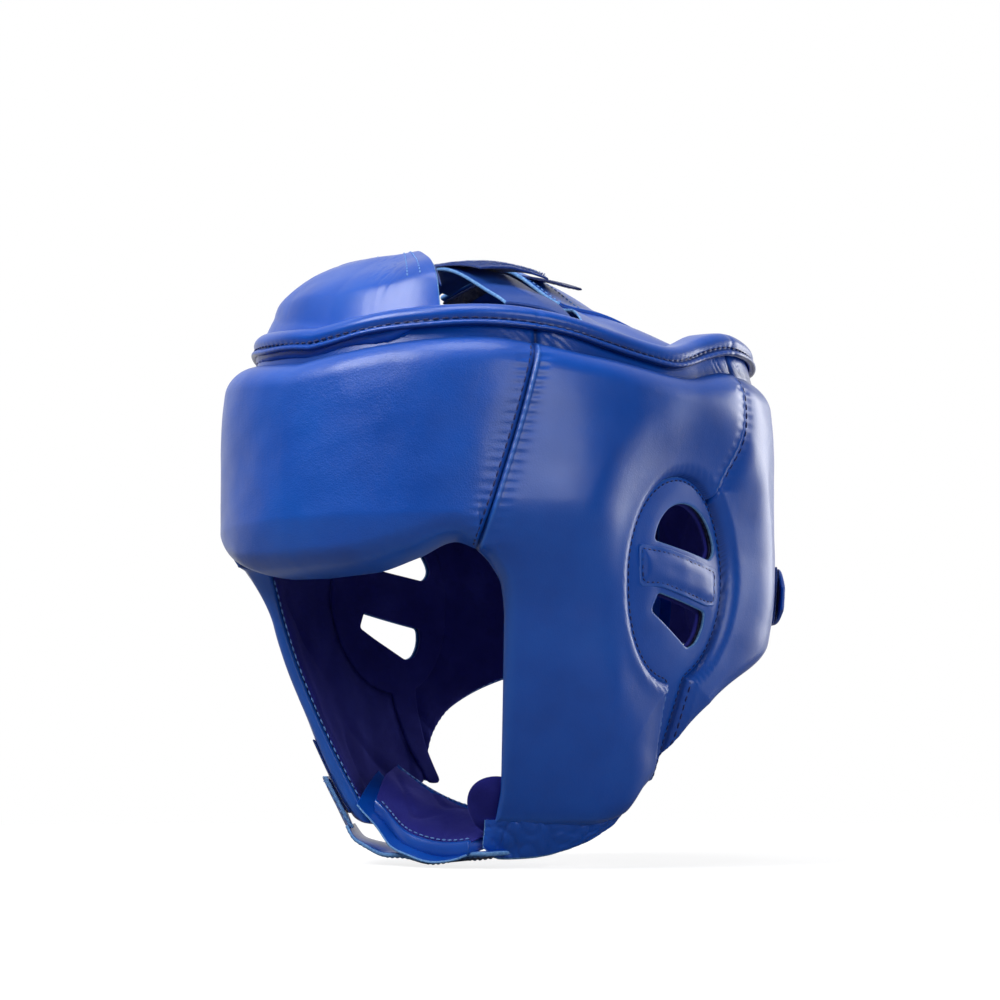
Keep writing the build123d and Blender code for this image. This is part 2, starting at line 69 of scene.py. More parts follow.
# ---------------------------------------------------------------- the form, as in the CAD
HALF_WIDTH, FRONT, BACK = 81.0, 99.0, 103.0
SQUARENESS = 2.3
TOP_TAPER, WIDE_ABOVE = 5.0, 60.0
JAW_LOW, JAW_NARROWING = 80.0, 22.0
FACE_TURN, FACE_NARROWING, NAPE_NARROWING = 20.0, 44.0, 43.0
LINING, LEATHER, COLLAR_DEPTH = 1.2, 1.4, 9.1
ROLL, EDGE_ROLL, EDGE_DEPTH = 11.0, 13.0, 6.5
EAR_Y, EAR_HALF, EAR_DEPTH = 12.5, (33.0, 40.5), 5.0
APEX, CROWN_DEPTH, RIM_SHARE = 133.0, 4.0, 0.95
NAPE_SLOT, NAPE_SLOT_TOP = 14.0, 22.0
NAPE_DEPTH = 20.4

RIM = ((0, 95.5), (38, 101), (90, 91.5), (122, 103), (180, 101))
PAD_TOP = ((0, 82.5), (38, 88.5), (62, 84), (95, 80.5), (122, 88), (180, 87))
BROW = ((0, -1.5), (14, -0.5), (25, 4.5), (33, 10), (37.5, 7.5))
CHEEK_LOW = ((41, -96), (75, -97), (90, -94), (98, -85), (107, -78))
BACK_LOW = ((105, -80), (113, -59), (122, -46.5), (140, -33), (180, -16))
TEMPLE = ((7.5, 37.5), (24, 40), (56, 44.8), (88, 49), (104, 51.2))
FACE_EDGE = ((-97, 41), (-80, 43.6), (-18, 43.8), (-6, 43), (2, 40.5), (7.5, 37.5))
SIDE_REAR = ((-97, 107), (-78, 106), (-64, 101.5), (-45, 98.5), (0, 104), (40, 113), (57, 117),
             (80, 119.5), (104, 121))
BACK_FRONT = ((-82, 112), (-60, 107.5), (-43, 107), (0, 110), (40, 113.5), (57, 117.5), (80, 120),
              (104, 121.5))
PAD_DEPTH = ((0, 22), (32, 19.5), (60, 19.5), (100, 17.5), (125, 18), (145, 20), (180, 20))
CHEEK_DEPTH = ((41, 6.5), (50, 7.5), (60, 10), (75, 16), (100, 17))


def curve(stations, x):
    """Smooth value at x of the curve through the stations."""
    xs, ys = np.array(stations, float).T
    x = np.clip(np.asarray(x, float), xs[0], xs[-1])
    i = np.clip(np.searchsorted(xs, x, side="right") - 1, 0, len(xs) - 2)
    step = np.diff(ys) / np.diff(xs)
    product = step[:-1] * step[1:]
    total = np.where(np.abs(step[:-1] + step[1:]) < 1e-9, 1.0, step[:-1] + step[1:])
    slope = np.concatenate([step[:1], np.where(product > 0, 2 * product / total, 0.0), step[-1:]])
    span = xs[i + 1] - xs[i]
    s = (x - xs[i]) / span
    rise = 3 * s ** 2 - 2 * s ** 3
    return (ys[i] * (1 - rise) + ys[i + 1] * rise
            + span * (slope[i] * s * (1 - s) ** 2 - slope[i + 1] * s ** 2 * (1 - s)))


def cavity(z):
    top = TOP_TAPER * (np.maximum(z - WIDE_ABOVE, 0.0) / (RIM[0][1] - WIDE_ABOVE)) ** 2
    jaw = JAW_NARROWING * (np.maximum(-z, 0.0) / JAW_LOW) ** 1.65
    turn = np.maximum(FACE_TURN - z, 0.0) / 100.0
    return (HALF_WIDTH - top - jaw, FRONT - top - FACE_NARROWING * turn ** 1.25,
            BACK - top - NAPE_NARROWING * turn ** 2.6)


def head_point(angle, z, depth):
    """Points on the wall at plan angles, heights and depths outside the lining's inner face."""
    angle, z, depth = np.broadcast_arrays(*(np.asarray(v, float) for v in (angle, z, depth)))
    half, front, back = cavity(z)
    s, c = np.sin(np.radians(angle)), np.cos(np.radians(angle))
    long = np.where(c > 0, front, back)
    r = (np.abs(s / half) ** SQUARENESS + np.abs(c / long) ** SQUARENESS) ** (-1 / SQUARENESS)
    x, y = r * s, -r * c
    nx = np.copysign(np.abs(x / half) ** (SQUARENESS - 1) / half, x)
    ny = np.copysign(np.abs(y / long) ** (SQUARENESS - 1) / long, y)
    size = np.hypot(nx, ny)
    return np.stack([x + depth * nx / size, y + depth * ny / size, z], -1)


def roll(distance, radius):
    inside = np.clip(distance, 0.0, radius) / radius
    return np.sqrt(1 - (1 - inside) ** 2)


def smooth(t):
    t = np.clip(t, 0.0, 1.0)
    return t * t * (3 - 2 * t)


def bell(x, width):
    return np.exp(-(x / width) ** 2)


def arc_length(degrees):
    return np.radians(degrees) * HALF_WIDTH


def rim_height(angle):
    return curve(RIM, np.abs((np.asarray(angle, float) + 180) % 360 - 180))


def pad_top(angle):
    return curve(PAD_TOP, np.abs((np.asarray(angle, float) + 180) % 360 - 180))


def low_edge(angle):
    a = np.abs(angle)
    return np.where(a < 37.5, curve(BROW, a), np.where(a < 107, curve(CHEEK_LOW, a), curve(BACK_LOW, a)))


def pad_depth(angle, z):
    """Depth of the pads' outer face as in the CAD, rolled at its edges."""
    a = np.abs(angle)
    full = curve(PAD_DEPTH, a)
    share = smooth((26 - z) / 42.0) * ((a > 37.5) & (a < 107))
    full = full * (1 - share) + curve(CHEEK_DEPTH, a) * share
    depth = EDGE_DEPTH + (full - EDGE_DEPTH) * roll(z - low_edge(a) + 1.0, ROLL)
    face = (a >= 37.5) & (a < 75) & (z < 7.5)
    turned = EDGE_DEPTH + (depth - EDGE_DEPTH) * roll(arc_length(a - curve(FACE_EDGE, z)) + 1.0, EDGE_ROLL)
    depth = np.where(face, turned, depth)
    low = COLLAR_DEPTH + 0.6
    rolled = low + (depth - low) * roll(curve(PAD_TOP, a) - z + 0.8, ROLL)
    return np.where(depth > low, rolled, depth)


def crown_height(x, y):
    """Height of the crown's form, full in front and gently sloped behind."""
    x, y = np.broadcast_arrays(np.asarray(x, float), np.asarray(y, float))
    angle = np.degrees(np.arctan2(x, -y))
    edge = head_point(angle, np.full_like(angle, RIM[0][1]), CROWN_DEPTH)
    share = np.minimum(np.hypot(x, y) / np.hypot(edge[..., 0], edge[..., 1]), 1.0)
    full, gentle = (1 - share ** 2.6) ** 0.7, (1 - share) ** 0.9
    behind = np.clip((y + 40) / 90, 0.0, 1.0)
    rim = rim_height(angle) - 1.0
    return rim + (APEX - rim) * (full * (1 - behind) + gentle * behind)


def ear_distance(angle, z):
    """Distance outside the ear oval, in mm, negative inside it."""
    p = head_point(np.abs(angle), z, EAR_DEPTH)
    k = np.hypot((p[..., 1] - EAR_Y) / EAR_HALF[0], p[..., 2] / EAR_HALF[1])
    return np.hypot(p[..., 1] - EAR_Y, p[..., 2]) * (1 - 1 / np.maximum(k, 0.05))


def ripples(seed, scale, *coords, count=7):
    """Soft undulation between about -1 and 1 with features of about the given size."""
    rng = np.random.default_rng(seed)
    total = np.zeros(np.broadcast(*coords).shape)
    for _ in range(count):
        way = rng.normal(size=len(coords))
        way *= 2 * np.pi / (scale * rng.uniform(0.7, 1.6)) / np.linalg.norm(way)
        total += np.sin(sum(w * c for w, c in zip(way, coords)) + rng.uniform(0, 2 * np.pi))
    return total / count ** 0.5 / 1.4


def creases(seed, scale, *coords):
    """Sharp-bottomed leather creases between 0 and 1, 0 on the flat."""
    wave = ripples(seed, scale, *coords, count=5)
    return np.clip(1 - np.abs(wave) * 3.0, 0, 1) ** 1.5


# ---------------------------------------------------------------- mesh tools
def make_object(name, points, faces, materials, slots=None, attributes=None, body="root", slot=None):
    """New closed piece from points in mm, with its materials by face and shading attributes by point."""
    mesh = bpy.data.meshes.new(name)
    mesh.from_pydata((np.asarray(points) * MM).tolist(), [], [tuple(f) for f in faces])
    for material in materials:
        mesh.materials.append(material)
    if slots is not None:
        mesh.polygons.foreach_set("material_index", np.asarray(slots, np.int32))
    for key, values in (attributes or {}).items():
        layer = mesh.attributes.new(key, "FLOAT", "POINT")
        layer.data.foreach_set("value", np.asarray(values, np.float32))
    work = bmesh.new()
    work.from_mesh(mesh)
    bmesh.ops.recalc_face_normals(work, faces=work.faces)
    work.to_mesh(mesh)
    work.free()
    mesh.polygons.foreach_set("use_smooth", np.ones(len(mesh.polygons), bool))
    mesh.update()
    obj = bpy.data.objects.new(name, mesh)
    bpy.context.scene.collection.objects.link(obj)
    if body:
        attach(obj, body)
    return obj


def shell(outer, inner, keep=None):
    """Closed shell between two grids of points; returns points, faces and each face's side: 0, 1 or 2."""
    ni, nj = outer.shape[:2]
    keep = np.ones((ni - 1, nj - 1), bool) if keep is None else keep
    index = np.arange(ni * nj).reshape(ni, nj)
    quads = np.stack([index[:-1, :-1], index[1:, :-1], index[1:, 1:], index[:-1, 1:]], -1)[keep]
    framed = np.zeros((ni + 1, nj + 1), bool)
    framed[1:-1, 1:-1] = keep
    walls = []
    for di, dj, a, b in ((-1, 0, (0, 1), (0, 0)), (1, 0, (1, 0), (1, 1)), (0, -1, (0, 0), (1, 0)),
                         (0, 1, (1, 1), (0, 1))):
        free = keep & ~framed[1 + di:ni + di, 1 + dj:nj + dj]
        i, j = np.nonzero(free)
        p, q = index[i + a[0], j + a[1]], index[i + b[0], j + b[1]]
        walls.append(np.stack([p, q, q + ni * nj, p + ni * nj], -1))
    walls = np.concatenate(walls)
    faces = np.concatenate([quads, quads[:, ::-1] + ni * nj, walls])
    side = np.repeat([0, 1, 2], [len(quads), len(quads), len(walls)])
    points = np.concatenate([outer.reshape(-1, 3), inner.reshape(-1, 3)])
    used, where = np.unique(faces, return_inverse=True)
    return points[used], where.reshape(faces.shape), side, used


def shares(n, tight=0.55):
    """Shares from 0 to 1, closer together at both ends."""
    t = np.linspace(0, 1, n + 1)
    return t + tight * (-np.sin(2 * np.pi * t)) / (2 * np.pi)


def ring_surface(loops):
    """Closed tube through loops of points that meets itself: loops is (around, across, 3)."""
    n, m = loops.shape[:2]
    index = np.arange(n * m).reshape(n, m)
    right, up = np.roll(index, -1, 0), np.roll(index, -1, 1)
    both = np.roll(right, -1, 1)
    return loops.reshape(-1, 3), np.stack([index, right, both, up], -1).reshape(-1, 4)


def mirrored(points, hand):
    return points * np.array([hand, 1, 1])


def along(points, step):
    """The points of a run again, evenly spaced."""
    points = np.asarray(points, float)
    lengths = np.concatenate([[0], np.cumsum(np.linalg.norm(np.diff(points, axis=0), axis=1))])
    marks = np.linspace(0, lengths[-1], max(int(lengths[-1] / step), 2) + 1)
    return np.stack([np.interp(marks, lengths, points[:, k]) for k in range(points.shape[1])], -1)


THREAD = 0.36          # half a thread's width
STITCH = (2.7, 3.7)    # a stitch's length and the distance to the next


def stitches(name, runs, material, body="root", size=THREAD, stitch=STITCH, slot="leather"):
    """Rows of thread along runs of points in mm, each stitch a bead that is pulled in at its ends."""
    length, pitch = stitch
    rings, sides = 5, 6
    t = np.linspace(-1, 1, rings)
    turn = np.arange(sides) * 2 * np.pi / sides
    radius = size * np.sqrt(np.clip(1.04 - t ** 4, 0.06, 1))
    beads = []
    for run in runs:
        marks = along(run, pitch)
        middle, way = (marks[1:] + marks[:-1]) / 2, np.diff(marks, axis=0)
        way /= np.linalg.norm(way, axis=1, keepdims=True)
        side = np.cross(way, (0.3, 0.5, 0.81))
        side /= np.linalg.norm(side, axis=1, keepdims=True)
        over = np.cross(way, side)
        line = middle[:, None, None] + (t * length / 2)[None, :, None, None] * way[:, None, None]
        around = (np.cos(turn)[None, None, :, None] * side[:, None, None]
                  + np.sin(turn)[None, None, :, None] * over[:, None, None])
        beads.append((line + radius[None, :, None, None] * around).reshape(-1, rings * sides, 3))
    beads = np.concatenate(beads)
    template = [(a * sides + b, a * sides + (b + 1) % sides, (a + 1) * sides + (b + 1) % sides,
                 (a + 1) * sides + b) for a in range(rings - 1) for b in range(sides)]
    caps = [tuple(range(sides))[::-1], tuple(range((rings - 1) * sides, rings * sides))]
    faces = [tuple(v + n * rings * sides for v in f) for n in range(len(beads)) for f in template + caps]
    return make_object(name, beads.reshape(-1, 3), faces, [material], body=body, slot=slot)


def fuzz(name, roots, normals, material, body, length=1.5, lean=0.7, width=0.11, seed=3, slot="loop_tape"):
    """Short leaning fibres that stand on a tape, each a thin three-sided spike that bends over."""
    rng = np.random.default_rng(seed)
    n = len(roots)
    long = length * rng.uniform(0.5, 1.1, (n, 1))
    sway = rng.normal(size=(n, 3)) * lean
    tip = roots + long * (normals + sway) / np.linalg.norm(normals + sway, axis=1, keepdims=True)
    middle = roots + long * 0.55 * (normals + sway * 0.35)
    side = np.cross(normals, rng.normal(size=(n, 3)))
    side /= np.linalg.norm(side, axis=1, keepdims=True)
    other = np.cross(normals, side)
    points = []
    for centre, wide in ((roots - 0.2 * normals, width), (middle, width * 0.8)):
        for k in range(3):
            a = 2 * np.pi * k / 3
            points.append(centre + wide * (math.cos(a) * side + math.sin(a) * other))
    points.append(tip)
    points = np.stack(points, 1)
    spike = [(2, 1, 0), (0, 1, 4, 3), (1, 2, 5, 4), (2, 0, 3, 5), (3, 4, 6), (4, 5, 6), (5, 3, 6)]
    faces = [tuple(v + 7 * m for v in f) for m in range(n) for f in spike]
    return make_object(name, points.reshape(-1, 3), faces, [material], body=body, slot=slot)


# ---------------------------------------------------------------- materials
def srgb(r, g, b):
    def linear(v):
        v /= 255
        return v / 12.92 if v <= 0.04045 else ((v + 0.055) / 1.055) ** 2.4
    return (linear(r), linear(g), linear(b), 1.0)


class Shader:
    """A material's node tree, built a node at a time."""

    def __init__(self, name):
        self.material = bpy.data.materials.new(name)
        self.material.use_nodes = True
        self.nodes = self.material.node_tree.nodes
        self.links = self.material.node_tree.links
        self.surface = self.nodes["Principled BSDF"]
        self.place = self.nodes.new("ShaderNodeTexCoord").outputs["Object"]

    def noise(self, scale, detail=3.0, roughness=0.5, stretch=None):
        node = self.nodes.new("ShaderNodeTexNoise")
        node.inputs["Scale"].default_value = scale
        node.inputs["Detail"].default_value = detail
        node.inputs["Roughness"].default_value = roughness
        self.links.new(self.stretched(stretch), node.inputs["Vector"])
        return node.outputs["Fac"]

    def stretched(self, stretch):
        if stretch is None:
            return self.place
        node = self.nodes.new("ShaderNodeMapping")
        node.inputs["Scale"].default_value = stretch
        self.links.new(self.place, node.inputs["Vector"])
        return node.outputs["Vector"]

    def cells(self, scale, feature="DISTANCE_TO_EDGE"):
        node = self.nodes.new("ShaderNodeTexVoronoi")
        node.feature = feature
        node.inputs["Scale"].default_value = scale
        self.links.new(self.place, node.inputs["Vector"])
        return node.outputs["Distance"]

    def value(self, key):
        node = self.nodes.new("ShaderNodeAttribute")
        node.attribute_name = key
        return node.outputs["Fac"]

    def math(self, operation, a, b):
        node = self.nodes.new("ShaderNodeMath")
        node.operation = operation
        for socket, v in zip(node.inputs, (a, b)):
            if isinstance(v, (int, float)):
                socket.default_value = v
            else:
                self.links.new(v, socket)
        return node.outputs[0]

    def ramp(self, fac, *stops):
        node = self.nodes.new("ShaderNodeValToRGB")
        elements = node.color_ramp.elements
        while len(elements) < len(stops):
            elements.new(0.5)
        for element, (at, colour) in zip(elements, stops):
            element.position = at
            element.color = colour if len(colour) == 4 else (*colour, 1.0)
        self.links.new(fac, node.inputs["Fac"])
        return node.outputs["Color"]

    def span(self, fac, low, high, start=0.0, stop=1.0):
        node = self.nodes.new("ShaderNodeMapRange")
        for key, v in (("From Min", start), ("From Max", stop), ("To Min", low), ("To Max", high)):
            node.inputs[key].default_value = v
        self.links.new(fac, node.inputs["Value"])
        return node.outputs["Result"]

    def mix(self, fac, a, b):
        node = self.nodes.new("ShaderNodeMix")
        node.data_type = "RGBA"
        for key, v in (("Factor", fac), ("A", a), ("B", b)):
            socket = next(i for i in node.inputs if i.name == key and i.enabled)
            if isinstance(v, (int, float, tuple)):
                socket.default_value = v
            else:
                self.links.new(v, socket)
        return next(o for o in node.outputs if o.enabled)

    def bump(self, *layers):
        """Layers of (height, distance in metres), one over another."""
        last = None
        for height, distance in layers:
            node = self.nodes.new("ShaderNodeBump")
            node.inputs["Distance"].default_value = distance
            node.inputs["Strength"].default_value = 1.0
            self.links.new(height, node.inputs["Height"])
            if last is not None:
                self.links.new(last, node.inputs["Normal"])
            last = node.outputs["Normal"]
        self.links.new(last, self.surface.inputs["Normal"])

    def finish(self, colour, roughness, **fixed):
        for key, v in (("Base Color", colour), ("Roughness", roughness)):
            if isinstance(v, (int, float, tuple)):
                self.surface.inputs[key].default_value = v
            else:
                self.links.new(v, self.surface.inputs[key])
        for key, v in fixed.items():
            self.surface.inputs[key.replace("_", " ")].default_value = v
        return self.material


BLUE, BLUE_DEEP, BLUE_LIGHT = srgb(3, 82, 190), srgb(2, 66, 164), srgb(6, 96, 206)


def leather(name, grain=0.00006, low=0.30, high=0.42, base=BLUE, deep=BLUE_DEEP, light=BLUE_LIGHT):
    """Full-grain leather: fine pebbles, a few pores, slow changes of dye, paler along edges (rubbed wear at
    cut edges, a painted highlight on raised seam ridges and rolled pad edges) and darker by a painted shade
    in seams and grooves.
    """
    s = Shader(name)
    dye = s.ramp(s.noise(28, 4, 0.55), (0.3, deep), (0.5, base), (0.72, light))
    dye = s.mix(0.55, dye, base)
    # Paler blue where the edge mark is set: rubbed wear along cut edges, and a painted highlight on raised
    # seam ridges and rolled pad edges.
    rubbed_and_highlit = s.mix(s.math("MULTIPLY", s.value("edge"), 0.45), dye, srgb(60, 130, 225))
    # Painted shade: dark navy mixed in where the seam-and-groove mark is set, in seams, grooves, under the
    # pads' rolled tops and under the rim binding.
    shaded = s.mix(s.math("MULTIPLY", s.value("groove_shade"), 0.75), rubbed_and_highlit, srgb(2, 16, 70))
    pebbles = s.math("POWER", s.cells(950), 0.5)
    fine = s.noise(2600, 3, 0.6)
    slow = s.noise(60, 4, 0.6)
    s.bump((slow, grain * 5), (pebbles, grain), (fine, grain * 0.7))
    roughness = s.span(s.math("ADD", s.noise(45, 4), s.math("MULTIPLY", fine, 0.25)), low, high, 0.35, 0.9)
    return s.finish(shaded, roughness, Specular_IOR_Level=0.5, Coat_Weight=0.25, Coat_Roughness=0.2)


def suede_material():
    """Brushed suede: mottled nap, a soft sheen and no gloss."""
    s = Shader("suede")
    nap = s.noise(90, 5, 0.65)
    patch = s.noise(26, 3, 0.6)
    colour = s.ramp(patch, (0.25, srgb(30, 33, 120)), (0.5, srgb(46, 50, 146)), (0.78, srgb(66, 72, 176)))
    colour = s.mix(s.math("MULTIPLY", nap, 0.6), colour, srgb(34, 30, 112))
    fibre = s.noise(1900, 4, 0.7, (1.0, 1.0, 0.6))
    s.bump((nap, 0.0006), (fibre, 0.00022))
    return s.finish(colour, 0.95, Specular_IOR_Level=0.12, Sheen_Weight=0.45, Sheen_Roughness=0.45,
                    Sheen_Tint=srgb(120, 120, 220))


def raw_edge():
    """The cut edge of dyed leather, pale and fibrous."""
    s = Shader("raw_leather_edge")
    fibre = s.noise(900, 5, 0.7)
    colour = s.ramp(fibre, (0.3, srgb(64, 124, 204)), (0.7, srgb(140, 188, 236)))
    s.bump((fibre, 0.0002),)
    return s.finish(colour, 0.75, Specular_IOR_Level=0.3)


def thread(name, tone, pale):
    s = Shader(name)
    ply = s.noise(2200, 2, 0.5)
    s.bump((ply, 0.00012),)
    return s.finish(s.ramp(ply, (0.3, tone), (0.7, pale)), 0.6, Specular_IOR_Level=0.4, Sheen_Weight=0.2)


def tape(name, tone, pale):
    """The woven ground of a hook or loop tape."""
    s = Shader(name)
    ground = s.noise(1400, 4, 0.7)
    s.bump((ground, 0.0005),)
    return s.finish(s.ramp(ground, (0.25, tone), (0.75, pale)), 0.9, Specular_IOR_Level=0.2, Sheen_Weight=0.5,
                    Sheen_Roughness=0.4)


def foam_material():
    s = Shader("foam")
    pores = s.cells(700, "F1")
    s.bump((pores, 0.0003),)
    return s.finish(s.ramp(pores, (0.1, srgb(30, 34, 60)), (0.7, srgb(60, 66, 100))), 0.95,
                    Specular_IOR_Level=0.1)


SMOOTH = leather("leather_smooth", grain=0.00003)
GRAINED = leather("leather_grained", grain=0.00007, low=0.32, high=0.46)
TRIM = leather("leather_trim", grain=0.00004, low=0.26, high=0.38)
FLESH = leather("leather_flesh_side", grain=0.00012, low=0.55, high=0.7, base=srgb(14, 70, 160),
                deep=srgb(8, 44, 118), light=srgb(30, 92, 180))
SUEDE, RAW, FOAM = suede_material(), raw_edge(), foam_material()
DARK_THREAD = thread("thread_dark", srgb(6, 18, 74), srgb(20, 44, 120))
PALE_THREAD = thread("thread_pale", srgb(72, 128, 214), srgb(138, 184, 244))
HOOK_TAPE = tape("hook_tape", srgb(8, 20, 66), srgb(22, 50, 122))
LOOP_TAPE = tape("loop_tape", srgb(14, 36, 110), srgb(44, 84, 170))
FIBRE = tape("loop_fibre", srgb(30, 60, 150), srgb(90, 130, 214))


# ---------------------------------------------------------------- padded zones
def temple(z):
    return curve(TEMPLE, z)


def side_front(z):
    return np.where(z > 7.5, temple(z), curve(FACE_EDGE, z))


def side_rear(z):
    return curve(SIDE_REAR, z)


def back_front(z):
    return curve(BACK_FRONT, z)


def slot_turn(z):
    """Half the nape slot's width at a height, as an angle."""
    round_end = NAPE_SLOT / 2
    up = np.clip(z - (NAPE_SLOT_TOP - round_end), 0.0, round_end)
    return np.degrees(np.sqrt(round_end ** 2 - up ** 2) / (BACK + 9))


UNDER_EAR = 1.5          # degrees that a cover's edge runs on under the ear panel's strip
BELOW_EAR = 24.0


def under(z):
    return UNDER_EAR * smooth((BELOW_EAR - z) / 20)


ZONES = {
    "forehead": (lambda z: -temple(z), temple, 1),
    "left_side": (side_front, lambda z: side_rear(z) + under(z), 1),
    "right_side": (side_front, lambda z: side_rear(z) + under(z), -1),
    "left_back": (lambda z: back_front(z) - under(z), lambda z: 180.0 - slot_turn(z), 1),
    "right_back": (lambda z: back_front(z) - under(z), lambda z: 180.0 - slot_turn(z), -1),
}


def zone_low(zone):
    stations = BROW if zone == "forehead" else CHEEK_LOW if "side" in zone else BACK_LOW
    return lambda a: curve(stations, np.abs(a))


def zone_grid(zone, high, inset=0.0, spacing=0.7):
    """Angles and heights of a grid over a zone, evenly inset from its edges."""
    front, rear = ZONES[zone][:2]
    low = zone_low(zone)
    turn = math.degrees(inset / HALF_WIDTH)
    middle = np.array(20.0)
    wide = float(arc_length(rear(middle) - front(middle)))
    tall = float(high(np.array(60.0)) - low(np.array(70.0 if zone != "forehead" else 0.0)))
    u = shares(int(wide / spacing / FINE))[:, None]
    v = shares(int(tall / spacing / FINE))[None, :]
    z = np.zeros((u.shape[0], v.shape[1]))
    angle = np.broadcast_to((front(z) + rear(z)) / 2, z.shape)
    for _ in range(14):
        z = low(angle) + inset + (high(angle) - low(angle) - 2 * inset) * v
        angle = front(z) + turn + (rear(z) - front(z) - 2 * turn) * u
    return angle, z


PAD_DROP = 2.2           # how far the covers' rolled tops sit under the foam's line


def seam_distances(zone, angle, z):
    """Distances in mm to the seams and free edges of a zone."""
    a = np.abs(angle)
    far = np.full_like(z, 99.0)
    d = dict(temple=far, rear=far, ear=far, face=far, slot=far)
    d["low"] = z - zone_low(zone)(a)
    d["top"] = pad_top(a) - PAD_DROP - z
    if zone == "forehead":
        d["temple"] = arc_length(temple(z) - a)
        return d
    below = 70 * (1 - smooth((-16 - z) / 16))
    above = 60 * (1 - smooth((z - 30) / 8))
    if "side" in zone:
        d["temple"] = arc_length(a - temple(z)) + 60 * (z < 7.5)
        d["face"] = arc_length(a - curve(FACE_EDGE, z)) + 60 * smooth((z - 6) / 4)
        strip = arc_length(side_rear(z) - a)
    else:
        strip = arc_length(a - back_front(z))
        d["slot"] = arc_length(180.0 - slot_turn(z) - a)
        d["middle"] = arc_length(180.0 - a) + 60 * (1 - smooth((z - NAPE_SLOT_TOP) / 4))
    d["rear"] = strip + above
    d["ear"] = np.minimum(ear_distance(angle, z), strip + below)
    return d


EDGE_MIDDLE, EDGE_RADIUS = 3.1, 3.4


def cover_depths(zone, angle, z, hand):
    """Outer and inner depth of a pad's leather, and its shading attributes."""
    d = seam_distances(zone, angle, z)
    seed = sum(map(ord, zone))
    p = head_point(angle, z, 10.0)
    x, y = p[..., 0] * hand, p[..., 1]
    depth = pad_depth(angle, z + PAD_DROP * smooth((z - 45) / 25))
    base = EAR_DEPTH - 1.0 - 0.9 * smooth(-d["ear"] / 1.0)
    share = 0.42 * roll(d["ear"], 5.5) + 0.58 * smooth(d["ear"] / 32)
    depth = base + np.maximum(depth - base, 0) * share + np.minimum(depth - base, 0) * (d["ear"] > 20)
    inside = smooth(np.minimum.reduce([d["temple"], d["rear"], d["ear"], d["low"], d["top"]]) / 10)
    depth = depth + 0.45 * inside * ripples(seed, 48, x, y, z)
    depth = depth + 0.10 * inside * ripples(seed + 1, 14, x, y, z)
    pull = 2 * np.pi / STITCH[1]
    for name, wave in (("temple", z), ("rear", z), ("ear", z * 0.8 + y)):
        depth = depth - 0.16 * bell(d[name] - 2.5, 2.2) * (1 + np.sin(pull * wave + ripples(seed + 5, 20, z)))
    if zone == "forehead":
        depth = depth - 1.1 * bell(d["temple"], 0.9) - 0.8 * bell(d["temple"], 6)
    else:
        depth = depth + 0.5 * bell(d["temple"] - 0.75, 0.45) - 1.0 * bell(d["temple"], 0.45)
        ridge = 1.0 if "side" in zone else 0.0
        depth = depth + ridge * 0.5 * bell(d["rear"] - 0.8, 0.5) - (1.1 - 0.2 * ridge) * bell(d["rear"], 0.8)
        depth = depth - (1 - ridge) * 1.2 * bell(d["rear"], 6)
    if "back" in zone:
        depth = depth - 1.3 * bell(d["middle"], 1.2) - 1.2 * bell(d["middle"], 6)
        depth = EDGE_DEPTH + (depth - EDGE_DEPTH) * roll(d["slot"] + 0.4, 9.0) * (z < NAPE_SLOT_TOP) \
            + (depth - EDGE_DEPTH) * (z >= NAPE_SLOT_TOP)
    free = np.minimum.reduce([d["low"], d["face"], d["slot"] + 40 * (z >= NAPE_SLOT_TOP)])
    k = roll(free, EDGE_RADIUS)
    outer = EDGE_MIDDLE + (depth - EDGE_MIDDLE) * k
    inner = EDGE_MIDDLE - (EDGE_MIDDLE - LINING - 0.15) * k
    inner = np.minimum(inner, outer - 0.2)
    seams = np.minimum.reduce([d["temple"], d["rear"], np.abs(d["ear"]), d.get("middle", d["rear"])])
    # Painted shade along the seams and just under the pads' rolled tops.
    groove_shade = 0.8 * bell(seams, 0.5) + 0.6 * bell(d["top"] + 0.6, 1.6)
    # Painted highlight on the raised ridges beside the side pads' seams, and along every pad's rolled free
    # edges.
    edge = bell(d["temple"] - 0.8, 0.35) + bell(d["rear"] - 0.8, 0.35) if "side" in zone else np.zeros_like(z)
    edge = edge + 0.45 * bell(free - 1.0, 2.5)
    return outer, inner, np.clip(groove_shade, 0, 1), np.clip(edge, 0, 1), d


def inside_cells(mask):
    """Cells whose four corners are all in the mask."""
    return mask[:-1, :-1] & mask[1:, :-1] & mask[1:, 1:] & mask[:-1, 1:]


EAR_TUCK = 3.0


def build_cover(zone):
    hand = ZONES[zone][2]
    angle, z = zone_grid(zone, lambda a: pad_top(a) - PAD_DROP + 0.6)
    outer, inner, groove_shade, edge, d = cover_depths(zone, angle, z, hand)
    keep = inside_cells(ear_distance(angle, z) > -EAR_TUCK) if zone != "forehead" else None
    points, faces, side, used = shell(mirrored(head_point(angle, z, outer), hand),
                                      mirrored(head_point(angle, z, inner), hand), keep)
    tags = {k: np.concatenate([v.ravel(), v.ravel()])[used] for k, v in (("groove_shade", groove_shade), ("edge", edge))}
    skin = GRAINED if zone == "forehead" else SMOOTH
    cover = make_object(zone + "_padded_cover", points, faces, [skin], attributes=tags, slot="leather")
    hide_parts(zone + "_cover", zone + "_pad_foam", zone + "_liner_foam")


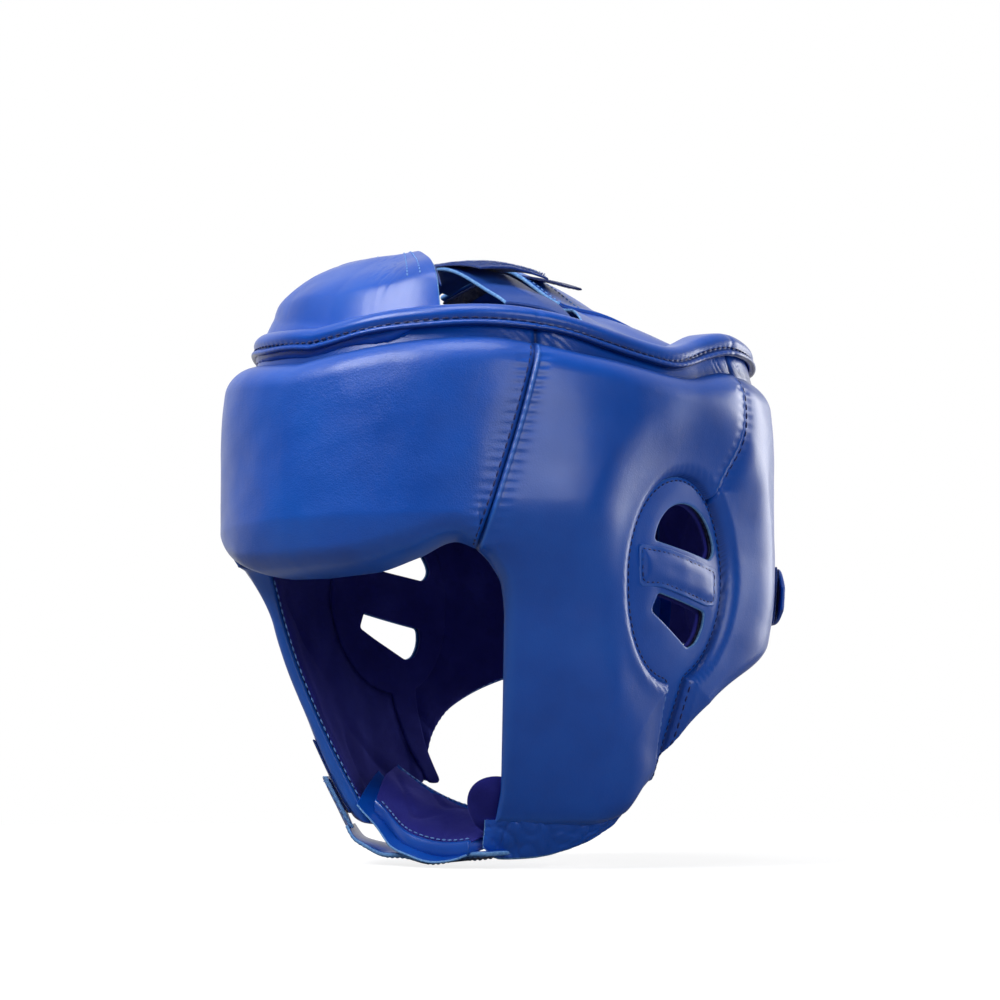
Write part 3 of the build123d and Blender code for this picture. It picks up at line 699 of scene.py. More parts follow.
def build_lining(zone):
    hand = ZONES[zone][2]
    angle, z = zone_grid(zone, lambda a: rim_height(a) - 3.0, inset=0.9, spacing=1.1)
    d = seam_distances(zone, angle, z)
    p = head_point(angle, z, 0.0)
    seed = sum(map(ord, zone)) + 9
    free = np.minimum.reduce([d["low"] - 0.9, d["face"] - 0.9, d["slot"] + 40 * (z >= NAPE_SLOT_TOP) - 0.9])
    puff = roll(free, 5.0)
    place = (p[..., 0], p[..., 1], z)
    wrinkles = ripples(seed, 26, *place) + 0.5 * ripples(seed + 1, 11, *place)
    seams = np.minimum(d["temple"], np.minimum(d["rear"], np.abs(d["ear"])))
    inner = 0.9 - (1.5 + 0.7 * wrinkles - 1.4 * bell(seams, 4.0)) * puff
    inner = inner + 1.1 * creases(seed + 2, 34, p[..., 0], p[..., 1], z * 0.6) * puff
    inner = np.minimum(inner, LINING - 0.1)
    outer = np.full_like(z, LINING) - 0.25 * (1 - roll(free, 1.0))
    keep = inside_cells(ear_distance(angle, z) > -EAR_TUCK + 1) if zone != "forehead" else None
    points, faces, side, used = shell(mirrored(head_point(angle, z, outer), hand),
                                      mirrored(head_point(angle, z, inner), hand), keep)
    lining = make_object(zone + "_suede_lining", points, faces, [SUEDE], slot="suede")
    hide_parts(zone + "_lining")


for zone in ZONES:
    build_cover(zone)
    build_lining(zone)


# ---------------------------------------------------------------- seams of the padded zones
def wall_run(angles, heights, depth, hand=1):
    return mirrored(head_point(angles, heights, depth), hand)


def cover_surface(zone, angles, heights):
    """Depth of a pad's leather along a run."""
    return cover_depths(zone, angles, heights, ZONES[zone][2])[0]


def seam_rows(zone, angles_at, low, high, lift=0.05):
    """A row of stitches on a zone's leather, its angles given by height."""
    z = np.linspace(low, high, 200)
    angles = angles_at(z)
    return wall_run(angles, z, cover_surface(zone, angles, z) + lift, ZONES[zone][2])


def turn(mm):
    return math.degrees(mm / HALF_WIDTH)


dark_rows, pale_rows = [], []
for hand in (1, -1):
    z = np.linspace(8.5, 84, 200)
    angles = hand * (temple(z) - turn(1.35))
    dark_rows.append(wall_run(angles, z, cover_surface("forehead", angles, z) + 0.05))
for side_name, hand in (("left", 1), ("right", -1)):
    dark_rows.append(seam_rows(side_name + "_back", lambda z: back_front(z) + turn(1.6), 42, 86))
    pale_rows.append(seam_rows(side_name + "_side", lambda z: side_rear(z) - turn(1.6), -76, -38))
    dark_rows.append(seam_rows(side_name + "_back", lambda z: back_front(z) + turn(1.6), -76, -38))
    z = np.linspace(-93, 3, 260)
    edge = curve(FACE_EDGE, z) + turn(1.0)
    pale_rows.append(wall_run(edge, z, 1.15, hand))
    a = np.linspace(44, 105, 200)
    pale_rows.append(wall_run(a, curve(CHEEK_LOW, a) + 1.0, 1.15, hand))
    a = np.linspace(107, 176, 220)
    pale_rows.append(wall_run(a, curve(BACK_LOW, a) + 1.0, 1.15, hand))
a = np.linspace(-37, 37, 260)
pale_rows.append(wall_run(a, curve(BROW, np.abs(a)) + 1.0, 1.15))
stitches("pad_seam_stitches", dark_rows, DARK_THREAD)
stitches("edge_stitches", pale_rows, PALE_THREAD, size=0.32, stitch=(2.3, 3.2))


# ---------------------------------------------------------------- collar and rim binding
def around_head(spacing):
    return np.linspace(-180, 180, int(2 * math.pi * 100 / spacing / FINE) + 1)[:-1]


def angle_gap(angle, at):
    return arc_length((angle - at + 180) % 360 - 180)


GATHERS = (-121, -50, 50, 121)      # angles of the collar's four seams


def stand_out(angle):
    """How much further out the rim stands behind the ears."""
    return 5.0 * smooth((np.abs(angle) - 104) / 22)


def build_collar():
    """The leather band between the pads and the binding, gathered beside its four seams."""
    angle = around_head(0.8)[:, None]
    rows = np.linspace(0, 1, 26)[None, :]
    low, high = pad_top(angle) - 6.0, rim_height(angle) - 1.9
    z = low + (high - low) * rows
    p = head_point(angle, z, COLLAR_DEPTH)
    depth = COLLAR_DEPTH - 0.5 * np.sin(np.pi * rows) + 0.35 * ripples(41, 40, p[..., 0], p[..., 1], z)
    depth = depth + stand_out(angle)
    for at in GATHERS:
        gap = angle_gap(angle, at)
        depth = depth - 0.9 * bell(gap, 0.9) - 0.5 * bell(gap, 5)
        folds = creases(abs(at) + (at > 0), 5.0, gap * 1.4 + z * 0.8, z * 0.35)
        depth = depth - 0.55 * folds * (bell(gap + 8, 7) + bell(gap - 7, 5))
    outer = head_point(angle, z, depth)
    inner = head_point(angle, z, depth - 1.3)
    points, faces = ring_surface(np.concatenate([outer, inner[:, ::-1]], 1))
    # Painted shade under the binding, along the line where the pads' tops meet the collar, and in the
    # collar's four seams.
    groove_shade = np.broadcast_to(0.75 * bell(rows - 1, 0.16) + 0.5 * bell(rows - 0.25, 0.12), z.shape)
    for at in GATHERS:
        groove_shade = groove_shade + bell(angle_gap(angle, at), 0.7)
    groove_shade = np.clip(np.concatenate([groove_shade, groove_shade[:, ::-1]], 1), 0, 1).ravel()
    collar = make_object("collar_leather", points, faces, [TRIM],
                         attributes={"groove_shade": groove_shade, "edge": groove_shade * 0}, slot="trim_leather")
    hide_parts("collar_band")


# The binding's section: depth and height over the rim, outside first, round over the top and down inside.
BINDING_SECTION = ((9.5, -8.7), (10.9, -9.2), (12.1, -8.5), (12.2, -7.5), (11.3, -6.7), (11.4, -5.9),
                   (12.4, -4.2), (12.2, -2.2), (10.6, -0.5), (8.0, 0.0), (4.0, 0.1), (0.6, -0.2),
                   (-1.2, -1.6), (-1.5, -4.5), (-1.3, -8.2), (-0.5, -9.2), (0.0, -8.0), (0.2, -2.6),
                   (3.0, -1.7), (8.4, -1.7), (9.4, -2.8), (9.35, -7.0))


def rounded_loop(points, each=3):
    """A closed smooth loop through the points, Catmull-Rom."""
    p = np.asarray(points, float)
    t = (np.arange(each) / each)[None, :, None]
    a, b, c, d = (np.roll(p, k, 0)[:, None] for k in (1, 0, -1, -2))
    loop = 0.5 * (2 * b + (c - a) * t + (2 * a - 5 * b + 4 * c - d) * t ** 2
                  + (3 * b - a - 3 * c + d) * t ** 3)
    return loop.reshape(-1, p.shape[1])


def build_binding():
    """The folded strip over the rim, sewn through above its lower piping."""
    angle = around_head(0.9)
    loop = rounded_loop(BINDING_SECTION)
    p = head_point(angle, rim_height(angle), 12.0)
    swell = 1 + 0.05 * ripples(52, 34, p[:, 0], p[:, 1])
    depth = loop[None, :, 0] + (loop[None, :, 0] > 9.6) * 0.35 * ripples(53, 45, p[:, 0], p[:, 1])[:, None]
    depth = depth + stand_out(angle)[:, None] * smooth((loop[None, :, 0] - 2) / 7)
    pucker = 0.13 * np.sin(2 * np.pi * np.radians(angle) * 100 / STITCH[1])[:, None]
    depth = depth + pucker * bell(loop[None, :, 1] + 6.6, 1.6) * (loop[None, :, 0] > 9.6)
    for at in (-121, 50, 121):
        depth = depth - 0.35 * bell(angle_gap(angle, at), 1.2)[:, None] * (loop[None, :, 0] > 9.6)
    z = rim_height(angle)[:, None] + loop[None, :, 1] * swell[:, None]
    z = z + 0.35 * ripples(54, 60, p[:, 0], p[:, 1])[:, None]
    points, faces = ring_surface(head_point(angle[:, None], z, depth))
    outside = loop[:, 0] > 9.6
    # Painted shade in the stitch groove and under the lower piping, on the outside only.
    shade = (bell(loop[:, 1] + 6.5, 0.7) * 0.8 + bell(loop[:, 1] + 9.2, 0.8)) * outside
    groove_shade = np.broadcast_to(shade, z.shape).ravel()
    binding = make_object("rim_binding_strip", points, faces, [TRIM],
                          attributes={"groove_shade": groove_shade, "edge": 0 * groove_shade}, slot="trim_leather")
    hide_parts("rim_binding")
    row = wall_run(angle, rim_height(angle) - 6.35, 11.55 + stand_out(angle))
    inside = wall_run(angle, rim_height(angle) - 6.35, -1.6)
    stitches("binding_stitches", [row, inside], DARK_THREAD, slot="trim_leather")


build_collar()
build_binding()


# ---------------------------------------------------------------- flat leather with cut edges
def polygon_distance(points, loop):
    """Distance of points to a closed loop, and whether each is inside it."""
    a, b = loop, np.roll(loop, -1, 0)
    ab = b - a
    rel = points[:, None] - a[None]
    t = np.clip((rel * ab).sum(-1) / np.maximum((ab ** 2).sum(-1), 1e-12), 0, 1)
    gap = np.linalg.norm(rel - t[..., None] * ab, axis=-1).min(1)
    crosses = (a[None, :, 1] > points[:, None, 1]) != (b[None, :, 1] > points[:, None, 1])
    rise = np.where(np.abs(ab[:, 1]) < 1e-12, 1e-12, ab[:, 1])
    at = a[None, :, 0] + (points[:, None, 1] - a[None, :, 1]) / rise * ab[None, :, 0]
    return gap, (crosses & (points[:, None, 0] < at)).sum(1) % 2 == 1


def even_loop(points, step=1.0, soften=3):
    """A closed loop with evenly spaced points and softened corners."""
    loop = along(np.vstack([points, points[:1]]), step)[:-1]
    for _ in range(soften):
        loop = 0.5 * loop + 0.25 * (np.roll(loop, 1, 0) + np.roll(loop, -1, 0))
    return loop


def inset_loop(loop, by):
    """The loop drawn in by a distance, towards its inside."""
    way = np.roll(loop, -1, 0) - np.roll(loop, 1, 0)
    way /= np.linalg.norm(way, axis=1, keepdims=True)
    area = 0.5 * (loop[:, 0] * np.roll(loop[:, 1], -1) - np.roll(loop[:, 0], -1) * loop[:, 1]).sum()
    return loop + by * np.sign(area) * np.stack([-way[:, 1], way[:, 0]], 1)


CUT_RINGS = (0.3, 0.7, 1.4)


def patch(name, outline, holes, place, low, high, skin, cut=None, spacing=2.0, radius=None, dent=None,
          body="root", slot="leather"):
    """A flat piece cut to an outline with holes, between two offsets, its cut edges rounded and paler.
    place(points, offset) lays it in space; dent(points, distance) changes its faces' offset."""
    loops = [outline] + list(holes)
    rings = [inset_loop(loop, r if k == 0 else -r) for r in CUT_RINGS for k, loop in enumerate(loops)]
    lo, hi = outline.min(0), outline.max(0)
    step = spacing * FINE
    columns, rows = np.arange(lo[0], hi[0], step), np.arange(lo[1], hi[1], step)
    grid = np.stack(np.meshgrid(columns, rows), -1).reshape(-1, 2)
    flat = np.concatenate([*rings, grid])
    gaps, insides = zip(*(polygon_distance(flat, loop) for loop in loops))
    clear = np.minimum.reduce(gaps)
    ring_count = sum(len(r) for r in rings)
    wanted = insides[0] & ~np.any(insides[1:], 0) if holes else insides[0]
    wanted &= clear > np.where(np.arange(len(flat)) < ring_count, 0.2, CUT_RINGS[-1] + 0.45 * step)
    flat = np.concatenate([*loops, flat[wanted]])
    edges, start = [], 0
    for loop in loops:
        edges += [(start + k, start + (k + 1) % len(loop)) for k in range(len(loop))]
        start += len(loop)
    verts, _, triangles, *_ = delaunay_2d_cdt([Vector(p) for p in flat], edges, [], 0, 1e-5)
    verts, triangles = np.array([tuple(v) for v in verts]), np.array(triangles)
    middle = verts[triangles].mean(1)
    within = polygon_distance(middle, outline)[1]
    for hole in holes:
        within &= ~polygon_distance(middle, hole)[1]
    triangles = triangles[within]
    distance = np.minimum.reduce([polygon_distance(verts, loop)[0] for loop in loops])
    half = (high - low) / 2
    round_off = roll(distance, radius or half)
    shift = dent(verts, distance) if dent else 0.0
    top = place(verts, low + half + half * round_off + shift)
    bottom = place(verts, low + half - half * round_off + shift)
    rim = distance < 1e-3
    below = np.where(rim, np.arange(len(verts)), np.arange(len(verts)) + len(verts))
    faces = np.concatenate([triangles, below[triangles][:, ::-1]])
    points = np.concatenate([top, bottom])
    near_edge = distance[triangles].min(1) < 0.05
    slots = np.concatenate([near_edge, near_edge]).astype(np.int32) if cut else None
    used, where = np.unique(faces, return_inverse=True)
    both = np.concatenate([distance, distance])[used]
    tags = {"groove_shade": 0 * both, "edge": 0.6 * bell(both, 1.0)}
    return make_object(name, points[used], where.reshape(faces.shape), [skin, cut] if cut else [skin],
                       slots=slots, attributes=tags, body=body, slot=slot)


# ---------------------------------------------------------------- ear panels
def side_angle(y, z, depth):
    """Plan angle of the wall point on the wearer's left at that y and height."""
    low, high = np.full_like(y, 20.0), np.full_like(y, 170.0)
    for _ in range(32):
        middle = (low + high) / 2
        ahead = head_point(middle, z, depth)[..., 1] < y
        low, high = np.where(ahead, middle, low), np.where(ahead, high, middle)
    return (low + high) / 2


def on_side(hand):
    def place(points, offset):
        y, z = points[:, 0], points[:, 1]
        return mirrored(head_point(side_angle(y, z, EAR_DEPTH), z, offset), hand)
    return place


def arc_run(start, via, stop, count=14):
    """Points of the circle through three points, from the first to the last."""
    (ax, ay), (bx, by), (cx, cy) = start, via, stop
    d = 2 * (ax * (by - cy) + bx * (cy - ay) + cx * (ay - by))
    aa, bb, cc = ax ** 2 + ay ** 2, bx ** 2 + by ** 2, cx ** 2 + cy ** 2
    ux = (aa * (by - cy) + bb * (cy - ay) + cc * (ay - by)) / d
    uy = (aa * (cx - bx) + bb * (ax - cx) + cc * (bx - ax)) / d
    first, mid, last = (math.atan2(y - uy, x - ux) for x, y in (start, via, stop))
    sweep = (last - first) % (2 * math.pi)
    if (mid - first) % (2 * math.pi) > sweep:
        sweep -= 2 * math.pi
    r = math.hypot(ax - ux, ay - uy)
    return [(ux + r * math.cos(first + sweep * k / count), uy + r * math.sin(first + sweep * k / count))
            for k in range(count)]


UPPER_HOLE = np.array([(-3, 14.5), *arc_run((32, 9.5), (37, 10.5), (38.5, 15)),
                       *arc_run((38.5, 15), (30.5, 25.5), (14.5, 30)),
                       *arc_run((14.5, 30), (2.5, 24.5), (-3, 14.5))], float)
LOWER_HOLE = np.array([(-0.5, -6), *arc_run((32, -12), (31, -19.5), (27, -25)), (27, -25), (22, -26.5),
                       (-4, -13)], float)
BRIDGE = ((-13.5, 12.5), (3, 11.8), (32, 7), (39.5, 6), (39, -9.5), (31, -9.7), (0, -3.9), (-13, -4.5))
STRIP_TOP, STRIP_END = -26.0, -79.0


def ear_outline():
    """The oval of the ear panel with its strip down between cheek and back pad."""
    def edge_y(angles, z):
        return head_point(angles, z, EAR_DEPTH)[..., 1]

    t = np.linspace(0, 2 * np.pi, 400)[:-1]
    y, z = EAR_Y + EAR_HALF[0] * np.cos(t), EAR_HALF[1] * np.sin(t)
    in_strip = (z < STRIP_TOP) & (y > edge_y(side_rear(z), z)) & (y < edge_y(back_front(z), z))
    first = int(np.nonzero(in_strip & ~np.roll(in_strip, -1))[0][0]) + 1
    run = np.roll(np.stack([y, z], 1), -first, 0)[:int((~in_strip).sum())]
    down = np.linspace(run[-1, 1] - 1.5, STRIP_END, 30)
    rise = np.linspace(STRIP_END, run[0, 1] - 1.5, 30)
    fore = np.stack([edge_y(side_rear(down), down), down], 1)
    aft = np.stack([edge_y(back_front(rise), rise), rise], 1)
    return even_loop(np.concatenate([run, fore, aft]), 1.1, 2)


def build_ear(side_name, hand):
    outline = ear_outline()
    holes = [even_loop(UPPER_HOLE, 0.8, 3), even_loop(LOWER_HOLE, 0.8, 3)]
    place = on_side(hand)

    def sag(points, distance):
        gaps = np.minimum.reduce([polygon_distance(points, hole)[0] for hole in holes])
        soft = ripples(77 + hand, 22, points[:, 0], points[:, 1])
        return -0.5 * bell(gaps, 3.5) + 0.25 * soft * smooth(distance / 6) \
            - 0.35 * bell(polygon_distance(points, outline)[0], 1.2)

    panel = patch(side_name + "_ear_leather", outline, holes, place, EAR_DEPTH - LEATHER, EAR_DEPTH, SMOOTH,
                  RAW, spacing=1.5, dent=sag)
    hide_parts(side_name + "_ear_panel")
    wider = [inset_loop(hole, -0.7) for hole in holes]
    core = patch(side_name + "_ear_core", inset_loop(outline, 0.8), wider, place, LINING + 0.1,
                 EAR_DEPTH - LEATHER - 0.6, FOAM, spacing=3.0, slot="foam")
    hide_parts(side_name + "_ear_backing")
    lining = patch(side_name + "_ear_suede", inset_loop(outline, -1.0), [inset_loop(h, 0.2) for h in holes],
                   place, -0.5, LINING - 0.1, SUEDE, spacing=2.0, slot="suede",
                   dent=lambda p, d: 0.25 * ripples(5, 14, p[:, 0], p[:, 1]))
    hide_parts(side_name + "_ear_lining")
    border = even_loop(np.array(BRIDGE, float), 1.0, 5)
    bridge = patch(side_name + "_ear_bridge_leather", border, [], place, EAR_DEPTH - 0.7,
                   EAR_DEPTH + 0.35, SMOOTH, spacing=1.2, dent=lambda p, d: 0.9 * smooth(d / 6)
                   - 0.35 * bell(d - 1.9, 0.7) + 0.15 * ripples(8, 12, p[:, 0], p[:, 1]))
    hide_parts(side_name + "_ear_bridge")

    def row(loop, offset):
        closed = np.vstack([loop, loop[:1]])
        return place(closed, np.full(len(closed), offset))

    oval_row = row(inset_loop(outline, 1.5), EAR_DEPTH)
    bridge_row = row(inset_loop(border, 1.9), EAR_DEPTH + 0.25)
    stitches(side_name + "_ear_stitches", [oval_row, bridge_row], DARK_THREAD, stitch=(2.0, 2.9), size=0.3)


for side_name, hand in (("left", 1), ("right", -1)):
    build_ear(side_name, hand)


# ---------------------------------------------------------------- crown
def between(start, stop):
    start, stop = np.array(start, float), np.array(stop, float)
    return lambda u: start + (stop - start) * np.asarray(u)[..., None]


def rim_arc(first, last, share=RIM_SHARE):
    def line(u):
        angle = first + (last - first) * np.asarray(u)
        return share * head_point(angle, RIM[0][1], CROWN_DEPTH)[..., :2]
    return line


def part_way(near, far, share):
    return lambda u: near(u) + (far(u) - near(u)) * share


FOLD_FRONT, FREE_FRONT = between((-50, -77), (43, -79)), between((-44, -46), (-4, -43))
FOLD_REAR, FREE_REAR = between((42, 79), (-42, 79)), between((34, -1), (-32, -3))
FOLD_RIGHT, FREE_RIGHT = between((-60, -40), (-62, -11)), between((-8, -34), (-8, -9))
BASE_LEFT, FREE_LEFT = between((55, -56), (68, -30)), between((-22, -45), (-22, -7))


def crown_piece(name, near, far, low, high, skin, cut=RAW, body="root", lift=None, thin=None, spacing=1.0,
                open_near=True, slot="leather", tags=None, node=None, bend=None, raw=("u0", "u1", "v1")):
    """A leather flap over a plan patch, from low to high over the crown's form, with cut edges all round.
    lift(u, v, x, y) raises both faces, thin(u, v) is the share of its thickness kept there, and tags(u, v, x,
    y) is a painted shade on its upper face."""
    wide = max(np.linalg.norm(near(1.0) - near(0.0)), np.linalg.norm(far(1.0) - far(0.0)))
    long = max(np.linalg.norm(far(s) - near(s)) for s in (0.0, 0.5, 1.0))
    u = shares(max(int(wide / spacing / FINE), 8), 0.7)[:, None]
    v = shares(max(int(long / spacing / FINE), 8), 0.7)[None, :]
    u, v = np.broadcast_arrays(u, v)
    a, b = near(u), far(u)
    xy = a + (b - a) * v[..., None]
    x, y = xy[..., 0], xy[..., 1]
    gap = np.minimum(np.minimum(u, 1 - u) * wide, (1 - v) * long)
    if not open_near:
        gap = np.minimum(gap, v * long)
    full = high - low
    thick = full * (thin(u, v) if thin else 1.0)
    half = thick / 2
    k = roll(gap + 0.06, np.minimum(half, 1.6))
    z = crown_height(x, y) + (lift(u, v, x, y) if lift else 0.0)
    top = np.stack([x, y, z + high - half + half * k], -1)
    bottom = np.stack([x, y, z + high - half - half * k], -1)
    points, faces, side, used = shell(top, bottom)
    bare = np.full_like(gap, 99.0)
    for edge, reach in (("u0", u * wide), ("u1", (1 - u) * wide), ("v1", (1 - v) * long)):
        bare = np.minimum(bare, reach) if edge in raw else bare
    flag = ((bare[:-1, :-1] + bare[1:, 1:]) / 2 < 0.5).ravel()
    wall_flag = np.concatenate([bare.ravel(), bare.ravel()])[used][faces[side == 2]].mean(1) < 0.1
    slots = np.concatenate([flag, flag, wall_flag]).astype(np.int32) if cut else None
    marks = {"groove_shade": np.zeros(len(used)), "edge": np.zeros(len(used))}
    if tags:
        shade = np.broadcast_to(np.clip(tags(u, v, x, y), 0, 1), u.shape).ravel()
        marks["groove_shade"] = np.concatenate([shade, 0 * shade])[used]
    obj = make_object(name, points, faces, [skin, cut] if cut else [skin], slots=slots, attributes=marks,
                      body=None if bend else body, slot=slot)
    if bend:
        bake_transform(obj)
    if node:
        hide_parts(*([node] if isinstance(node, str) else node))
    return obj


def crown_row(near, far, run, offset, lift=None):
    """A row of stitches over the crown through (u, v) shares."""
    run = along(run, 0.01)
    u, v = run[:, 0], run[:, 1]
    a, b = near(u), far(u)
    xy = a + (b - a) * v[:, None]
    z = crown_height(xy[:, 0], xy[:, 1]) + offset + (lift(u, v, xy[:, 0], xy[:, 1]) if lift else 0.0)
    return np.stack([xy[:, 0], xy[:, 1], z], 1)


FLAP = (0.2, 2.2)
HOOK = (-1.1, 0.0)
LOOP_TOP = -1.4
FRONT_TOP = 6.6
RIM_TUCK = 5.0           # how far a panel's sewn edge runs down inside the rim
GUSSET_RISE = 0.6


def tucked(high, lift=None, over=0.10):
    """The lift of a panel whose near edge runs down behind the rim binding."""
    def raised(u, v, x, y):
        angle = np.degrees(np.arctan2(x, -y))
        drop = rim_height(angle) - RIM_TUCK - crown_height(x, y) - high
        return drop * (1 - smooth(v / over)) + (lift(u, v, x, y) if lift else 0.0)
    return raised


FRONT_ARC, REAR_ARC = rim_arc(-62, 31, 1.075), rim_arc(143, 212, 0.985)
FRONT_EDGE = between((-46, -46), (-11, -44))
SEAM_V, SEAM_TILT = 0.70, 0.07


def front_seam(u, v, width):
    """The sewn dart across the front panel, 1 on its line."""
    return (bell((v - SEAM_V - SEAM_TILT * (u - 0.4)) * 52, width) * smooth((u - 0.06) / 0.05)
            * smooth((0.76 - u) / 0.06))


def front_shape(u, v, x, y):
    """Soft hollows and bundles of fine creases in the front panel."""
    bundles = bell(u - 0.42, 0.08) * (v < 0.66) + 0.7 * bell(u - 0.86, 0.06) * (v < 0.6)
    fold = creases(91, 3.0, x, y * 0.2) * bundles
    hollow = 1.2 * bell(u - 0.18, 0.06) * bell(v - 0.3, 0.3)
    hollow = hollow + 0.8 * bell(u - 0.42, 0.12) * bell(v - 0.35, 0.3)
    puff = 9.0 * (1 - u) ** 1.4 * smooth(v / 0.22) * (1 - 0.3 * v) - 1.5 * u
    return puff + 0.7 * ripples(92, 30, x, y) - 0.5 * fold - 1.1 * front_seam(u, v, 1.2) - hollow


def rear_drop(x, y):
    """How far the crown sags behind, over the left ear."""
    return 10.5 * smooth((x - 2) / 34) * smooth((y + 60) / 35)


front_lift = tucked(FRONT_TOP, front_shape, 0.2)
rear_lift = tucked(FLAP[1], lambda u, v, x, y: 0.4 * ripples(95, 40, x, y) * smooth((1 - v) / 0.1)
                   - rear_drop(x, y))


def build_crown():
    hinge_y, hinge_z = -0.078, 0.1236
    front_bend = ((0, hinge_y - 0.006, hinge_z), (0, hinge_y + 0.008, hinge_z))
    # The front panel's tags paint shade along its sewn dart.
    flap = crown_piece("front_crown_padded_panel", FRONT_ARC, FRONT_EDGE, 0.5, FRONT_TOP, SMOOTH,
                       body="front_crown_flap", lift=front_lift, spacing=0.7, raw=("u1", "v1"),
                       tags=lambda u, v, x, y: front_seam(u, v, 0.8), bend=front_bend,
                       thin=lambda u, v: 1 - 0.66 * smooth((u - 0.87) / 0.09),
                       node=("front_flap_cover", "front_flap_foam", "crown_front_base"))
    crown_piece("front_flap_flesh_side", part_way(FOLD_FRONT, FREE_FRONT, 0.0),
                part_way(FOLD_FRONT, FREE_FRONT, 0.985), 0.1, 1.3, FLESH, body="front_crown_flap",
                node="front_flap_backing", bend=front_bend, raw=())
    crown_piece("front_flap_hook_tape", part_way(FOLD_FRONT, FREE_FRONT, 0.78),
                part_way(FOLD_FRONT, FREE_FRONT, 0.98), *HOOK, HOOK_TAPE, HOOK_TAPE, body="front_crown_flap",
                node="front_flap_hook", open_near=False, slot="hook_tape")
    # The rear panel's tags paint shade near its free edge, along the outer stitch row.
    crown_piece("rear_crown_panel", REAR_ARC, FREE_REAR, *FLAP, SMOOTH, body="rear_crown_flap",
                node=("rear_flap", "crown_rear_base"), bend=((0, 0.083, 0.1114), (0, 0.072, 0.1114)),
                spacing=0.9, raw=("v1",), lift=rear_lift,
                tags=lambda u, v, x, y: 0.5 * bell((1 - v) * 95 - 2.4, 0.6))
    crown_piece("rear_flap_hook_tape", part_way(FOLD_REAR, FREE_REAR, 0.84),
                part_way(FOLD_REAR, FREE_REAR, 0.98), *HOOK, HOOK_TAPE, HOOK_TAPE, body="rear_crown_flap",
                node="rear_flap_hook", open_near=False, slot="hook_tape")
    right_bend = ((-0.064, -0.025, 0.1173), (-0.056, -0.025, 0.1173))
    crown_piece("right_strap_leather", rim_arc(-63, -92, 0.985), FREE_RIGHT, *FLAP, SMOOTH,
                body="right_crown_flap", node=("right_crown_strap", "crown_right_base"), bend=right_bend,
                lift=tucked(FLAP[1]))
    crown_piece("right_strap_hook_tape", part_way(FOLD_RIGHT, FREE_RIGHT, 0.7),
                part_way(FOLD_RIGHT, FREE_RIGHT, 0.97), *HOOK, HOOK_TAPE, HOOK_TAPE, body="right_crown_flap",
                node="right_crown_hook", open_near=False, slot="hook_tape")
    low, high = FLAP[0] - 1.6, FLAP[1] - 2.2
    crown_piece("left_crown_gusset_leather", rim_arc(67, 150, 0.985), between((31, 3), (34, 72)), low, high,
                SMOOTH, node="crown_left_gusset", raw=("u0",),
                lift=tucked(high, lambda u, v, x, y: 0.3 * ripples(97, 30, x, y) + GUSSET_RISE
                            - rear_drop(x, y)))
    crown_piece("right_crown_gusset_leather", rim_arc(-150, -88, 0.985), between((-34, 72), (-31, 3)), low,
                high, SMOOTH, node="crown_right_gusset", raw=("u1",),
                lift=tucked(high, lambda u, v, x, y: 0.3 * ripples(98, 30, x, y) + GUSSET_RISE))
    left_bend = ((0.066, -0.044, 0.1095), (0.058, -0.042, 0.1095))
    crown_piece("left_strap_leather", BASE_LEFT, FREE_LEFT, LOOP_TOP - 2.8, LOOP_TOP - 1.2, FLESH,
                body="left_crown_flap", node="left_crown_strap", bend=left_bend,
                lift=lambda u, v, x, y: -7.0 * smooth((x - 12) / 36))
    crown_piece("left_strap_loop_tape", part_way(BASE_LEFT, FREE_LEFT, 0.2),
                part_way(BASE_LEFT, FREE_LEFT, 0.98), LOOP_TOP - 1.1, LOOP_TOP, LOOP_TAPE, LOOP_TAPE,
                body="left_crown_flap", node="left_crown_loop", open_near=False, slot="loop_tape")


build_crown()


def crown_fuzz(name, near, far, first, last, offset, up, body, count, seed, material=FIBRE, length=1.5,
               slot="loop_tape"):
    """Fibres over a stretch of a crown piece, standing off the crown's form."""
    rng = np.random.default_rng(seed)
    u, v = rng.uniform(0, 1, count), rng.uniform(first, last, count)
    a, b = near(u), far(u)
    xy = a + (b - a) * v[:, None]
    e = 0.5     # step over which the crown's slope is taken
    z = crown_height(xy[:, 0], xy[:, 1])
    slope = np.stack([-(crown_height(xy[:, 0] + e, xy[:, 1]) - z) / e,
                      -(crown_height(xy[:, 0], xy[:, 1] + e) - z) / e, np.ones(count)], 1)
    slope /= np.linalg.norm(slope, axis=1, keepdims=True)
    roots = np.stack([xy[:, 0], xy[:, 1], z + offset], 1)
    return fuzz(name, roots, slope * up, material, body, length=length, seed=seed, slot=slot)


FIBRES = 5200
crown_fuzz("left_strap_loop_fibres", BASE_LEFT, FREE_LEFT, 0.21, 0.97, LOOP_TOP, 1, "left_crown_flap",
           FIBRES, 11, length=1.1)
crown_fuzz("rear_flap_hooks", FOLD_REAR, FREE_REAR, 0.845, 0.975, HOOK[0], -1, "rear_crown_flap",
           FIBRES // 3, 12, HOOK_TAPE, 0.5, "hook_tape")
crown_fuzz("front_flap_hooks", FOLD_FRONT, FREE_FRONT, 0.79, 0.97, HOOK[0], -1, "front_crown_flap",
           FIBRES // 4, 13, HOOK_TAPE, 0.5, "hook_tape")

CROWN_SEWING = dict(size=0.3, stitch=(1.9, 2.8))

